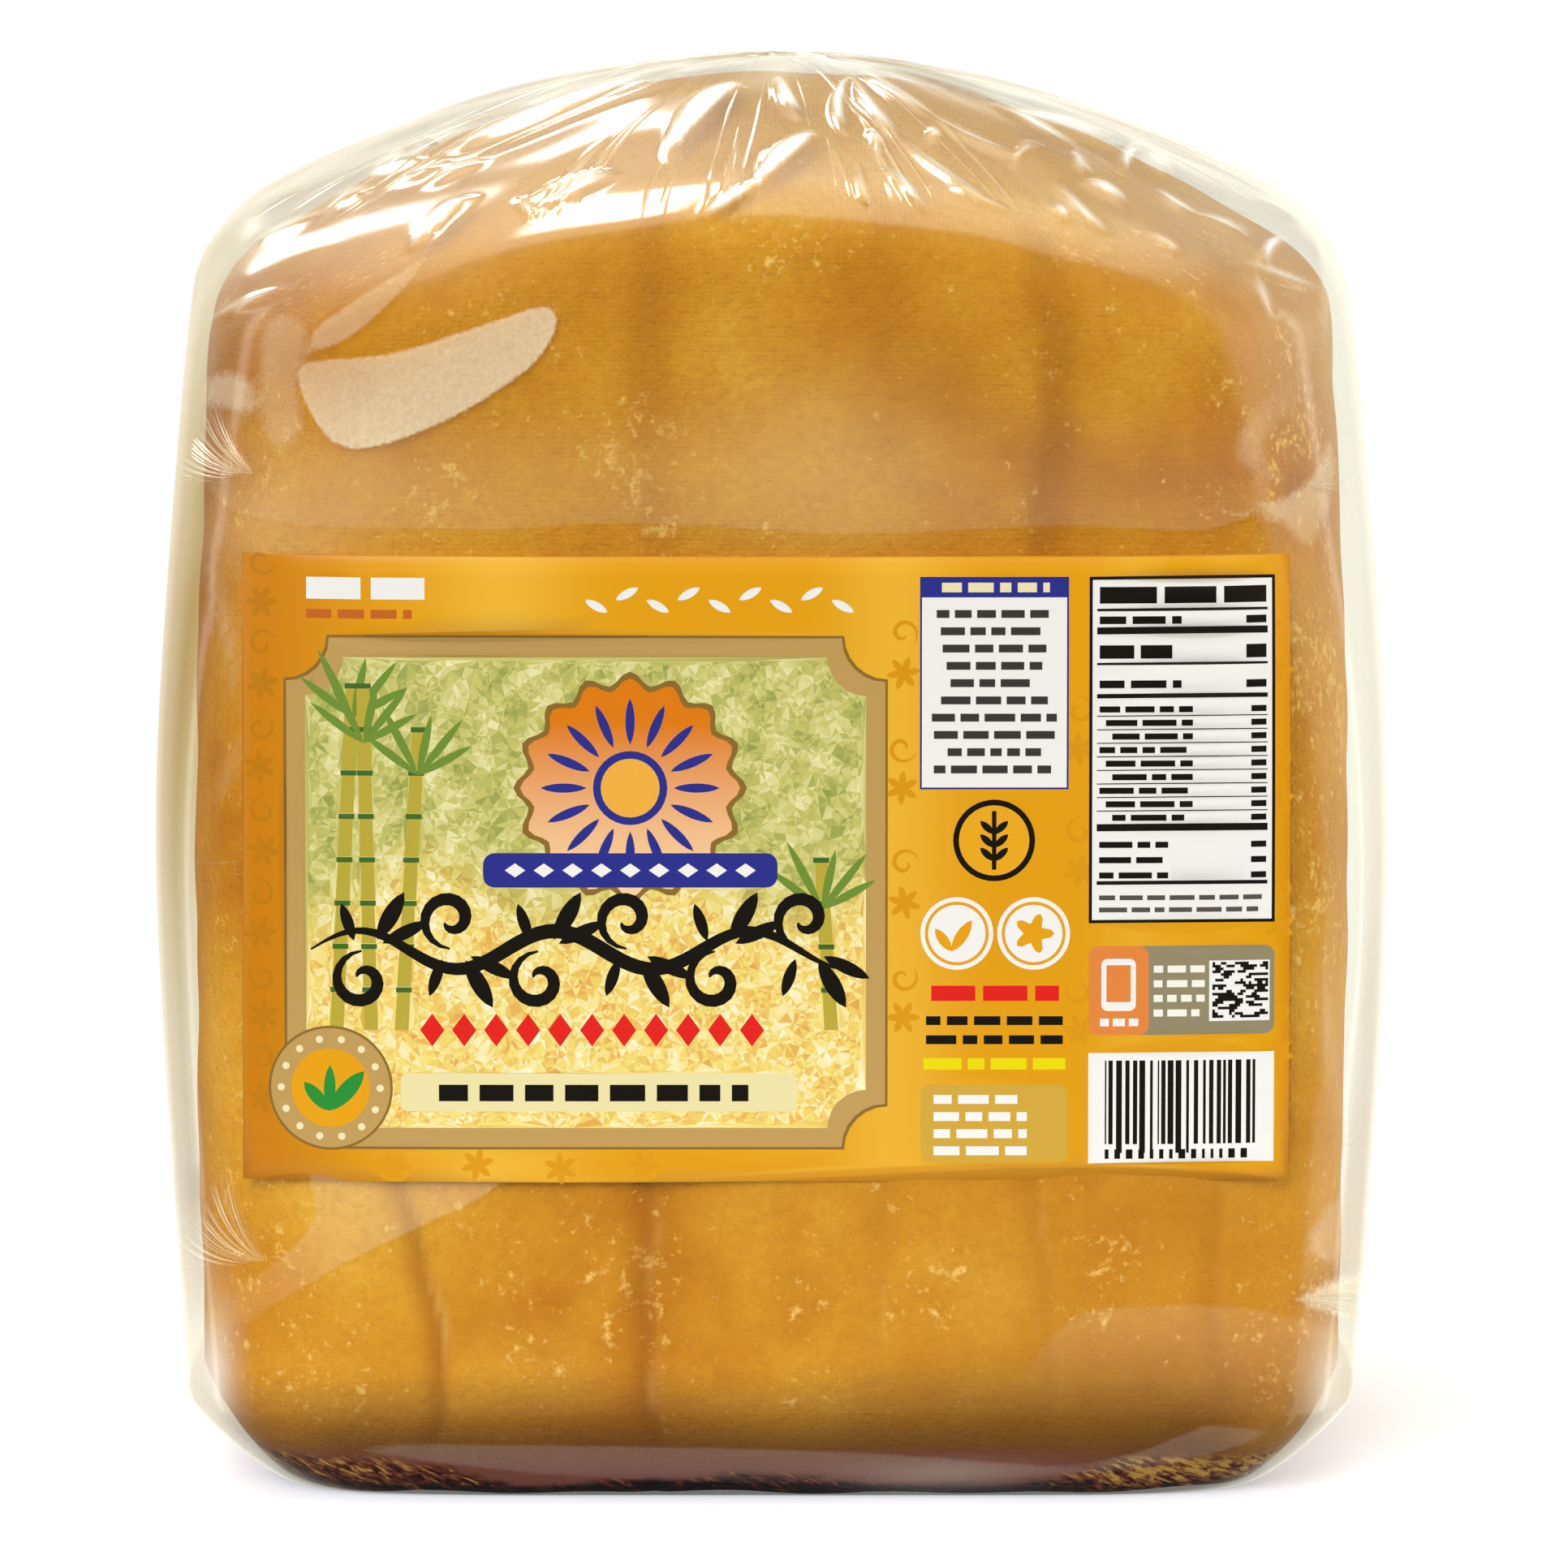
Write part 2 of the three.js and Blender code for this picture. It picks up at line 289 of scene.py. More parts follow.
# Folds pulled across the dome: start, end, bow as a share of the length, half width, height. Each
# place is across and up.
DOME_FOLDS = [
    (-27, 105.9, -6.6, 113.3, 0.02, 0.48, 0.5), (-24.3, 105.8, -7, 112.1, 0.01, 0.36, 0.3),
    (-25.9, 106.5, -12.8, 111.3, 0, 0.36, 0.25), (-31.5, 103.3, -26.5, 105.2, 0.02, 0.44, 0.35),
    (-28.8, 103.1, -23.7, 105.4, 0.03, 0.48, 0.4), (-36.6, 101.7, -33.2, 103, 0.05, 0.64, 0.3),
    (-33.3, 104.7, -28.7, 105.7, 0.03, 0.56, 0.3), (-43.4, 98.7, -37.5, 101.2, -0.04, 0.44, 0.35),
    (-46.7, 91.6, -40.1, 94.6, 0.03, 0.4, 0.35), (-30, 97.5, -25.4, 101.7, 0.1, 0.64, 0.55),
    (-28.5, 98.7, -24.2, 102.2, 0.16, 0.4, 0.35), (-21.3, 102.1, -19.7, 100.3, 0.05, 0.48, 0.35),
    (-20.5, 101.9, -12.8, 104.5, 0.03, 0.4, 0.35), (-19.5, 101.1, -12.3, 104.3, 0.02, 0.44, 0.4),
    (-9.1, 105.2, -2.6, 111.7, 0.08, 0.76, 0.75), (-7.6, 105.6, -1.9, 111.3, 0.25, 0.4, 0.4),
    (-6, 100, -0.6, 103.4, 0.05, 0.6, 0.5), (-1.4, 102.9, 4, 107.6, 0.08, 0.76, 0.65),
    (0.3, 112.3, 2.5, 109, -0.06, 0.56, 0.5), (6.3, 107.5, 6.6, 112.3, 0.2, 0.52, 0.5),
    (6.6, 112.1, 10.7, 107.2, -0.06, 0.48, 0.45), (10.3, 107.4, 17.7, 102.1, -0.03, 0.36, 0.35),
    (7.4, 112.7, 13.4, 108.9, -0.03, 0.44, 0.4), (13.1, 109.1, 20.6, 105.4, -0.03, 0.36, 0.3),
    (8, 107.8, 9.4, 106.2, 0, 0.48, 0.4), (12.8, 107.8, 14.1, 107, 0, 0.48, 0.4),
    (7.1, 104.6, 8.3, 101.5, -0.12, 0.4, 0.35), (9, 104.8, 13, 100.7, 0.06, 0.44, 0.4),
    (18.3, 110.2, 26, 106.1, -0.02, 0.4, 0.4), (20.3, 109.4, 28.9, 106.6, 0.02, 0.6, 0.5),
    (20.1, 104.4, 22.6, 106.2, 0.28, 0.44, 0.35), (25, 106.2, 26.4, 104, -0.1, 0.48, 0.4),
    (25.7, 103.4, 29.5, 101.4, 0.1, 0.48, 0.45), (29.3, 104, 30.9, 106.5, 0.22, 0.56, 0.5),
    (30.3, 106.1, 33.1, 103.8, 0.1, 0.48, 0.45), (23.6, 103.5, 28.5, 98.9, -0.06, 0.48, 0.4),
    (23.4, 101.7, 24.8, 100.1, 0, 0.56, 0.4), (14.6, 103.3, 20.3, 100.7, -0.02, 0.36, 0.3),
    (31.7, 103.1, 35.5, 100.7, -0.08, 0.44, 0.35), (35.1, 100.9, 40.3, 98.7, 0.02, 0.36, 0.35),
    (31.5, 99.3, 34.2, 97.3, -0.04, 0.44, 0.35), (38, 97, 46.4, 93.9, 0.02, 0.36, 0.35),
    (40.1, 102.2, 44.2, 100.1, 0, 0.36, 0.3), (41.1, 96.2, 43, 98.7, 0.3, 0.56, 0.45),
    (39.6, 96.1, 41.4, 91.3, 0.06, 0.44, 0.35),
]
SEAM_FADE = 3.0  # marks on the dome die away this close to the plane between front and back
SIDE_FADE = 26.0  # and those below it this close

# Where slack film is gathered to a point near the upright corners: the point, the direction of its
# fan of creases in degrees, half the fan's angle, and how far it reaches.
TUCKS = [
    ((-42.8, 79.0), 152, 34, 6.0),
    ((-41.9, 13.9), 150, 36, 7.0),
    ((44.6, 77.8), 20, 40, 3.0),
    ((43.6, 10.7), 0, 14, 5.5),
]
TUCK_DEPTH = 0.22
TUCK_WIDTH = 3.0
# Long slack folds down the sides.
SIDE_FOLDS = [
    (-48.2, 75.5, -44.1, 58.2, 0.05, 0.8, 0.12), (-44.1, 58.2, -46.4, 51, 0.06, 0.8, 0.1),
    (47.2, 71, 49.2, 30, 0.02, 0.9, 0.12), (45.9, 43, 48.3, 22, -0.05, 0.9, 0.12),
    (45, 100, 45.6, 88.8, 0.04, 0.6, 0.16),
]

# The solid's own relief, repeated: pleats round the dome, furrows of the moulding cloth.
PLEAT_COUNT = 17
PLEAT_DEPTH = 0.75
PLEAT_ANGLE = 0.115
PLEAT_START = 0.3
PLEAT_REACH = 9.0
SLACK_PLEATS = 0.35  # how much of the pleats' depth the film itself follows
PILLOW_HEIGHT = 0.45
# Across, how deep near the foot and near the dome as shares of the depth, and how far it wanders.
FURROWS = [(-27.6, 0.9, 0.0, 1.7), (-9.4, 1.0, 0.5, 0.4), (8.3, 0.35, 0.1, 0.6),
           (21.1, 0.35, 0.7, 0.9), (35.5, 0.3, 0.1, 0.6)]
FURROW_DEPTH = 0.45
FURROW_HALF_WIDTH = 2.6


def draw(k, kind):
    """A repeatable draw between 0 and 1 for the k-th thing of a kind: a fraction of a large sine."""
    value = math.sin(12.9898 * (k + 1) + 78.233 * kind) * 43758.5453
    return value - math.floor(value)


def pleat_hollows(grid, form):
    """Hollows between pleats that stand at uneven angles about the crown: depth (1 - crest), the
    crests bells of the angle away, faded in outwards and out below the shoulder."""
    x, y, z = grid[..., 0], grid[..., 1], grid[..., 2]
    out = np.hypot(x / form.half_width, y / form.half_depth)
    below = form.height * dome_factor(form, x, y) - z
    fade = smooth((out - PLEAT_START) / PLEAT_START) * (1 - smooth(below / PLEAT_REACH))
    angle = np.arctan2(y / form.half_depth, x / form.half_width)
    crest = np.zeros_like(x)
    for k in range(PLEAT_COUNT):
        middle = 2 * math.pi * (k + 0.25 + 0.5 * draw(k, 1)) / PLEAT_COUNT
        away = np.arctan2(np.sin(angle - middle), np.cos(angle - middle))
        crest = np.maximum(crest, (0.5 + 0.5 * draw(k, 2)) * bell(away, PLEAT_ANGLE))
    return PLEAT_DEPTH * (1 - crest) * fade


def furrow_share(z, low, high):
    """How strong a furrow is at a height: low near the foot, high near the dome."""
    return low + (high - low) * smooth((z - 25) / 50)


def cloth_furrows(grid, form):
    """Upright furrows down the front and back: the deepest of a few bells across x."""
    x, y, z = grid[..., 0], grid[..., 1], grid[..., 2]
    on_face = smooth((np.abs(y) / form.half_depth - 0.9) / 0.08)
    upright = smooth((z - FILM.foot_rise) / FILM.foot_rise)
    upright = upright * smooth((form.height - form.fall_to_sides - z) / form.fall_to_sides)
    depth = np.max([bell(x - middle, FURROW_HALF_WIDTH) * furrow_share(z, low, high)
                    for middle, low, high, _ in FURROWS], axis=0)
    return FURROW_DEPTH * depth * on_face * upright


def facing(points):
    """0 on the plane between front and back, 1 from SEAM_FADE away on the dome and from SIDE_FADE
    away below it."""
    below = smooth((100 - points[..., 2]) / 8)
    return smooth(np.abs(points[..., 1] - MIDDLE_Y) / (SEAM_FADE + (SIDE_FADE - SEAM_FADE) * below))


def fold_height(u, v, folds):
    """Folds laid over each other: the sum of ridges, each its height times its ridge."""
    total = np.zeros_like(u)
    for fold in folds:
        total += fold[6] * ridge(u, v, fold)
    return total


def tuck_hollows(u, v):
    """The dimples that the tucks lie in: a bell of the distance to each."""
    return TUCK_DEPTH * bell_sum(u, v, [(*tuck[0], TUCK_WIDTH, TUCK_WIDTH, 1) for tuck in TUCKS])


def tuck_fans(u, v):
    """The place about the nearest tuck: along its fan's middle and across it, the across widened so
    that every fan's half angle is 0.6 of a radian, and its reach."""
    away = np.stack([np.hypot(u - tuck[0][0], v - tuck[0][1]) for tuck in TUCKS])
    nearest = away.argmin(axis=0)
    place = np.zeros(u.shape + (3,))
    for k, ((middle_u, middle_v), direction, half, reach) in enumerate(TUCKS):
        c, n = math.cos(math.radians(direction)), math.sin(math.radians(direction))
        du, dv = u - middle_u, v - middle_v
        along = du * c + dv * n
        across = (dv * c - du * n) * 0.6 / math.radians(half)
        place[nearest == k] = np.stack([along, across, np.full_like(u, reach)], -1)[nearest == k]
    return place


def slack(grid):
    """Broad shallow waves of slack film, inward only: three sines crossed at odd angles."""
    x, y, z = grid[..., 0], grid[..., 1], grid[..., 2]
    wave = np.sin(x / 7.3 + z / 19.0 + 0.6) * np.sin(z / 11.0 - x / 23.0 + y / 9.0)
    wave = wave + 0.6 * np.sin((x + 2.1 * z + 1.3 * y) / 13.0 + 1.9)
    return -0.05 * (1.6 + wave)


# Where film stands off the sugar it looks hazy, with a crisp edge. Each outline lies on the plane
# that marks are seen on.
HAZE_LEAF = [(-38.9, 88.2), (-38.9, 88.2), (-31.6, 88.9), (-26.2, 90.5), (-21.9, 91.9), (-18.7, 92.8),
             (-17.7, 91.7), (-18.7, 89.3), (-20.9, 87.1), (-26.2, 83.8), (-32.3, 81.4), (-36.3, 81.7),
             (-39.0, 86.1)]
HAZE_BLADE = [(-38.4, 89.0), (-38.4, 89.0), (-37.7, 90.9), (-35.6, 92.5), (-32.3, 94.7),
              (-28.9, 96.8), (-28.9, 96.8), (-29.7, 95.2), (-32.3, 92.5), (-35.3, 90.1)]
HAZE_TONGUE = [(-41.7, 91.3), (-39.1, 91.6), (-38.6, 89.5), (-39.3, 86.1), (-38.9, 82.7),
               (-40.2, 81.3), (-41.7, 82.1), (-42.2, 86.1)]
HAZE_CAP = [(-46.6, 86.6), (-45.4, 87.3), (-44.4, 87.2), (-42.9, 86.1), (-42.5, 84.1),
            (-44.4, 84.4), (-46.0, 84.8), (-46.8, 85.2)]
HAZE_LOWER_LEFT = [(-21.2, 21.6), (-21.2, 21.6), (-24.0, 19.2), (-30.0, 16.3), (-35.5, 13.6),
                   (-41.0, 10.4), (-46.5, 7.0), (-46.8, 9.2), (-42.5, 12.6), (-39.2, 15.4),
                   (-37.6, 18.0), (-38.6, 21.6), (-38.6, 21.6)]
HAZE_LOWER_RIGHT = [(22.0, 6.0), (25.7, 9.5), (30.1, 10.1), (34.8, 10.2), (42.0, 9.5), (52.0, 5.8),
                    (52.0, 5.8), (52.0, -4.0), (36.8, -4.5), (28.8, -2.5), (20.0, 1.5)]
HAZE_HOOK = [(44.2, 87.6), (41.2, 85.6), (39.2, 82.8), (38.5, 80.9), (39.3, 79.6), (42.0, 78.6),
             (42.0, 78.6), (40.6, 80.0), (40.9, 82.2), (42.6, 84.4), (44.6, 85.6)]
HAZE_WEDGE = [(38.0, 75.8), (38.0, 75.8), (42.9, 77.2), (45.3, 79.4), (46.0, 81.6), (46.6, 79.0),
              (46.0, 76.0), (44.4, 73.0), (42.2, 75.0)]
# A painted highlight: the white glint at the lower right tuck, drawn as milkiness.
HAZE_TUCK = [(43.6, 10.6), (43.6, 10.6), (46.0, 12.0), (49.0, 12.6), (49.0, 9.4), (46.4, 9.6)]
HAZE_SAIL = [(48.1, 19.8), (46.3, 18.5), (44.9, 16.4), (44.4, 15.3), (45.2, 14.2), (47.0, 13.9),
             (48.1, 15.0)]
HAZE_SLEEVE = [(-44.5, 76.0), (-26.2, 74.4), (-13.5, 74.9), (-0.1, 74.4), (6.6, 74.0), (23.4, 74.7),
               (37.5, 74.7), (41.0, 80.0), (30.0, 92.0), (-20.0, 92.0), (-44.5, 84.0)]
HAZE_FOOT = [(-34.0, -1.4), (-10.1, -1.5), (7.3, -2.0), (23.0, -3.0), (29.2, -2.2), (32.9, -1.0),
             (35.8, 0.2), (38.5, 0.1), (40.9, -0.5), (34.0, -2.6), (27.1, -3.5), (10.0, -4.4),
             (-9.7, -4.2), (-23.6, -3.2)]
# Layers that may overlap, each with outlines that don't: how milky, how crisp their edge is, and
# where they fade from and to.
HAZE_LAYERS = [
    [(HAZE_LEAF, 0.38, 1.0, ((-30.0, 83.0), (-37.0, 98.0))),
     (HAZE_LOWER_LEFT, 0.085, 1.0, ((-27.0, 19.0), (-50.0, 4.0))),
     (HAZE_LOWER_RIGHT, 0.035, 0.5, ((34.0, 9.0), (33.0, 0.5))),
     (HAZE_HOOK, 0.09, 0.3, ((40.0, 81.0), (45.0, 88.5)))],
    [(HAZE_BLADE, 0.16, 0.8, ((-35.0, 92.0), (-22.0, 102.0))), (HAZE_TONGUE, 0.10, 0.3, None),
     (HAZE_CAP, 0.20, 0.3, None), (HAZE_WEDGE, 0.22, 0.4, ((42.0, 78.0), (47.0, 70.0))),
     (HAZE_TUCK, 0.38, 0.4, None), (HAZE_SAIL, 0.16, 0.3, ((44.4, 16.0), (49.0, 16.0)))],
    [(HAZE_SLEEVE, 0.045, 1.0, ((0.0, 74.0), (0.0, 87.0))),
     (HAZE_FOOT, 0.045, 1.0, ((0.0, -3.0), (0.0, -5.0)))],
]
# Broad faint haze: across, up, half width, half height, how milky.
HAZE_CLOUDS = [
    (5.3, 81, 10, 6, 0.05), (-34, 79, 8, 3.5, 0.05), (-41, 74, 7, 3, 0.07), (-41.5, 92.8, 3.5, 5, 0.05),
    (43, 92, 4, 7, 0.07), (37, 99.5, 8, 4, 0.09), (14, -3.9, 7, 1.1, 0.1), (-30, 96.5, 8, 3, 0.03),
    # The two low ones at the corners are painted highlights of the film's bottom corners.
    (-46.2, 4.5, 1.7, 5, 0.4), (46.4, 3.5, 1.8, 4.5, 0.32),
]


def haze_marks(u, v):
    """For each layer, the distance into the outline that a point lies deepest in or nearest to, times
    how crisp its edge is, and its milkiness, which fades smoothly from one point to another."""
    depths, levels = [], []
    for layer in HAZE_LAYERS:
        depth = np.stack([inside_distance(u, v, smooth_loop(loop, 6)) for loop, *_ in layer])
        level = np.zeros_like(depth)
        for k, (_, milky, _, fade) in enumerate(layer):
            level[k] = milky
            if fade:
                (u0, v0), (u1, v1) = fade
                du, dv = u1 - u0, v1 - v0
                level[k] *= 1 - smooth(((u - u0) * du + (v - v0) * dv) / (du**2 + dv**2))
        nearest = depth.argmax(axis=0)
        crisp = np.array([outline[2] for outline in layer])[nearest]
        depths.append(depth.max(axis=0) * crisp)
        levels.append(np.take_along_axis(level, nearest[None], axis=0)[0])
    return np.stack(depths, -1), np.stack(levels, -1)


def pull_direction(grid):
    """A place on a drum that the film's pull lines run along: the angle about the crown round it,
    and the distance out from the crown, drawn out ten times, up it."""
    x, y = grid[..., 0] / FILM.half_width, (grid[..., 1] - MIDDLE_Y) / FILM.half_depth
    angle = np.arctan2(y, x)
    out = np.hypot(x, y)
    return np.stack([45 * np.cos(angle), 45 * np.sin(angle), 4.5 * out + grid[..., 2] / 9], axis=-1) * MM


def pillows(grid):
    """Long cushions of slack film over the dome, inward only: waves of the angle about the crown,
    leaning as they run out, crossed by waves of the distance out."""
    x, y, z = grid[..., 0] / FILM.half_width, grid[..., 1] / FILM.half_depth, grid[..., 2]
    angle = np.arctan2(y, x)
    out = np.hypot(x, y)
    wave = np.sin(11 * angle + 2.2 * np.sin(2 * angle + 1.0) + 6.0 * out)
    wave *= np.sin(9.0 * out + 3 * angle + 0.5)
    return -PILLOW_HEIGHT * 0.5 * (1 - wave) * smooth((z - 90) / 8)


def film_grid():
    """The film's skin with its relief along its own normals, in the pack's place."""
    grid = loaf_grid(FILM, *profile_rows(FILM, FILM_ROWS), column_angles(*FILM_COLUMNS))
    normal = grid_normals(grid)
    placed = grid + np.array([0, MIDDLE_Y, 0])
    u, v = seen(placed)
    marks = fold_height(u, v, DOME_FOLDS + SIDE_FOLDS) - tuck_hollows(u, v)
    relief = marks * facing(placed) + slack(grid) + pillows(grid)
    relief -= SLACK_PLEATS * pleat_hollows(grid, FILM)
    relief *= smooth(grid[..., 2] / 4.0)
    return placed + normal * relief[..., None]


# ---------------------------------------------------------------- materials

# What a Math node does with its inputs: the first times the second plus the third, as it comes or
# held between 0 and 1. A Mix node of colours lays its input 7 over its input 6, and one of numbers
# its input 3 over its input 2.
LINEAR = {"operation": "MULTIPLY_ADD"}
HELD = {"operation": "MULTIPLY_ADD", "use_clamp": True}
PRODUCT = {"operation": "MULTIPLY"}
OVERLAY = {"data_type": "RGBA", "output": 2}


def srgb(text):
    """A hex colour as linear red, green, blue and 1."""
    shares = [int(text[i:i + 2], 16) / 255 for i in (1, 3, 5)]
    return [s / 12.92 if s <= 0.04045 else ((s + 0.055) / 1.055) ** 2.4 for s in shares] + [1.0]


def per_metre(mm):
    """A noise scale whose features are about this many millimetres across."""
    return 1 / (mm * MM)


def add_node(tree, kind, inputs=(), output=0, **settings):
    """A node with its settings and its inputs, in order or by name, each of them a socket to link, a
    hex colour or a plain value. Gives the output that is asked for, if the node has any."""
    node = tree.nodes.new("ShaderNode" + kind)
    for name, value in settings.items():
        setattr(node, name, value)
    for name, value in inputs.items() if isinstance(inputs, dict) else enumerate(inputs):
        if isinstance(value, bpy.types.NodeSocket):
            tree.links.new(value, node.inputs[name])
        else:
            node.inputs[name].default_value = srgb(value) if isinstance(value, str) else value
    return node.outputs[output] if node.outputs else None


def new_material(name):
    """A material with an empty node tree, and what adds nodes to it."""
    material = bpy.data.materials.new(name)
    material.use_nodes = True
    material.node_tree.nodes.clear()
    return material, partial(add_node, material.node_tree)


def set_stops(colour, stops):
    """Puts (place, hex) stops on the colour ramp that a colour comes from."""
    elements = colour.node.color_ramp.elements
    while len(elements) < len(stops):
        elements.new(0.5)
    for element, (place, shade) in zip(elements, stops):
        element.position = place
        element.color = srgb(shade)


def jaggery_material():
    """Pressed raw cane sugar: dense and fine-grained, golden brown with paler crumbs, cloudy darker
    bands, printed by the weave of its cloth, near-black maroon along the underside with painted shade
    where it turns under. Painted shade darkens its furrows and browns it up from the foot, a painted
    highlight runs along each furrow's lip, and a painted mauve reflection of the film lies along the foot."""
    material, node = new_material("pressed_cane_jaggery")
    place = node("TexCoord", output="Object")
    tone, loose, furrow, lip, crust, bloom, burnt, golden = [
        node("Attribute", output="Fac", attribute_name=name) for name in BLOCK_MARKS]
    cloud = node("TexNoise", {"Vector": place, "Scale": per_metre(21), "Detail": 5.0, "Roughness": 0.62})
    colour = node("ValToRGB", (cloud,))
    set_stops(colour, [(0.34, "#B06E0F"), (0.47, "#C1851C"), (0.58, "#C99125"), (0.70, "#D29F35")])
    grit = node("TexNoise", {"Vector": place, "Scale": per_metre(0.7), "Detail": 3.0, "Roughness": 0.6})
    # Flaky crumbs of undissolved sugar lie where a fine noise and the local cluster add up to more
    # than their rarity.
    groups = node("TexNoise", {"Vector": place, "Scale": per_metre(9), "Detail": 2.0})
    cluster = node("Math", (groups, 0.4, loose), **LINEAR)
    flakes = []
    for grain, rarity, strength in ((1.5, 0.859, 1.0), (0.8, 0.842, 0.7)):
        fine = node("TexNoise", {"Vector": place, "Scale": per_metre(grain), "Detail": 4.0,
                                 "Roughness": 0.62})
        chance = node("Math", (fine, cluster), operation="ADD")
        sharp = node("Math", (chance, 9.0, -9.0 * rarity), **HELD)
        flakes.append(node("Math", (sharp, strength), **PRODUCT))
    crumbs = node("Math", flakes, operation="MAXIMUM")
    # The lowest band along the foot: near-black maroon with slanting yellow streaks, the underside's
    # own colour with painted shade where it turns under.
    slanting = node("Mapping", {"Vector": place, "Rotation": (0.0, 0.45, 0.0), "Scale": (3.0, 3.0, 0.7)},
                    vector_type="TEXTURE")
    streaks = node("TexNoise", {"Vector": slanting, "Scale": per_metre(0.5), "Detail": 4.0,
                                "Roughness": 0.65, "Distortion": 0.5})
    char = node("ValToRGB", (node("Math", (golden, 0.14, streaks), **LINEAR),))
    set_stops(char, [(0.46, "#0E0102"), (0.53, "#551510"), (0.61, "#7A4620"), (0.68, "#B08A3C")])
    # The furrows' dark brown is painted shade and their pale lip a painted highlight; the brown up from the
    # foot is painted shade, and the mauve band along it a painted reflection of the film.
    layers = [
        (node("Math", (tone, -1.0), use_clamp=True, **PRODUCT), "#A25F0C"),
        (node("Math", (tone, 1.0), use_clamp=True, **PRODUCT), "#E0B440"),
        (node("Math", (grit, 1.0, -0.38), **HELD), "#AD7218"),
        (crumbs, "#E2B762"), (furrow, "#8A4C0A"), (lip, "#D7AC5C"), (crust, "#5E380F"), (bloom, "#723F37"),
        (burnt, char),
    ]
    for share, shade in layers:
        colour = node("Mix", {0: share, 6: colour, 7: shade}, **OVERLAY)
    rough = node("Math", (crumbs, 0.12, grit), **LINEAR)
    threads = [node("TexWave", {"Vector": place, "Scale": per_metre(1.2), "Distortion": 0.6}, "Fac",
                    bands_direction=axis) for axis in "ZX"]
    weave = node("Math", threads, operation="ADD")
    rough = node("Math", (weave, 0.045, rough), **LINEAR)
    bump = node("Bump", {"Height": rough, "Strength": 0.7, "Distance": 0.0005})
    skin = node("BsdfPrincipled", {"Base Color": colour, "Normal": bump, "Roughness": 0.55, "IOR": 1.5,
                                   "Specular IOR Level": 0.15})
    node("OutputMaterial", {"Surface": skin})
    return material


def wrinkle_nodes(node):
    """Wrinkles: thin ridges where a noise stretched along the film's pull passes its middle value, in
    scattered groups, on the taut dome only."""
    pull = node("Attribute", output="Vector", attribute_name="pull")
    taut = node("Attribute", output="Fac", attribute_name="taut")
    waves = node("TexNoise", {"Vector": pull, "Scale": per_metre(3.2), "Detail": 1.5, "Roughness": 0.5})
    groups = node("TexNoise", {"Vector": pull, "Scale": per_metre(5.5), "Detail": 1.0})
    offset = node("Math", (waves, 0.5), operation="SUBTRACT")
    away = node("Math", (offset,), operation="ABSOLUTE")
    thin = node("Math", (away, -30.0, 1.0), **HELD)
    some = node("Math", (groups, 6.0, -2.6), **HELD)
    there = node("Math", (some, taut), **PRODUCT)
    return node("Math", (thin, there), **PRODUCT)


def fan_nodes(node):
    """Creases that fan out from a tuck: a noise of the angle about it, sharpened, between the fan's
    two edges and out to its reach."""
    tuck = node("Attribute", output="Vector", attribute_name="tuck")
    along, across, reach = node("SeparateXYZ", (tuck,)).node.outputs
    angle = node("Math", (across, along), operation="ARCTAN2")
    turned = node("Math", (along, 0.07, angle), **LINEAR)
    comb = node("TexNoise", {"W": turned, "Scale": 20.0, "Detail": 2.0}, noise_dimensions="1D")
    creases = node("Math", (comb, 9.0, -4.4), **HELD)
    from_middle = node("Math", (angle,), operation="ABSOLUTE")
    within = node("Math", (from_middle, -5.0, 3.3), **HELD)
    left_over = node("Math", (reach, along), operation="SUBTRACT")
    short = node("Math", (left_over, 0.6), use_clamp=True, **PRODUCT)
    fan = node("Math", (creases, within), **PRODUCT)
    return node("Math", (fan, short), **PRODUCT)


def haze_nodes(node):
    """Milkiness: each layer's level where its depth is above 0, set in within a quarter of a
    millimetre and a little ragged, with faint haze and the painted highlights of fold crests and
    corners over all."""
    place = node("TexCoord", output="Object")
    depths = node("Attribute", output="Vector", attribute_name="haze_depths")
    levels = node("Attribute", output="Vector", attribute_name="haze_levels")
    veil = node("Attribute", output="Fac", attribute_name="veil")
    grain = node("TexNoise", {"Vector": place, "Scale": per_metre(0.4), "Detail": 3.0})
    spread = node("Math", (grain, 1.4, -0.2), **LINEAR)
    ragged = node("VectorMath", (depths, (4.0, 4.0, 4.0), spread), **LINEAR)
    above = node("VectorMath", (ragged, (0.0, 0.0, 0.0)), operation="MAXIMUM")
    inside = node("VectorMath", (above, (1.0, 1.0, 1.0)), operation="MINIMUM")
    patches = node("VectorMath", (inside, levels), "Value", operation="DOT_PRODUCT")
    mottled = node("Math", (grain, 0.6, 0.7), **LINEAR)
    return node("Math", (patches, mottled, veil), **LINEAR)


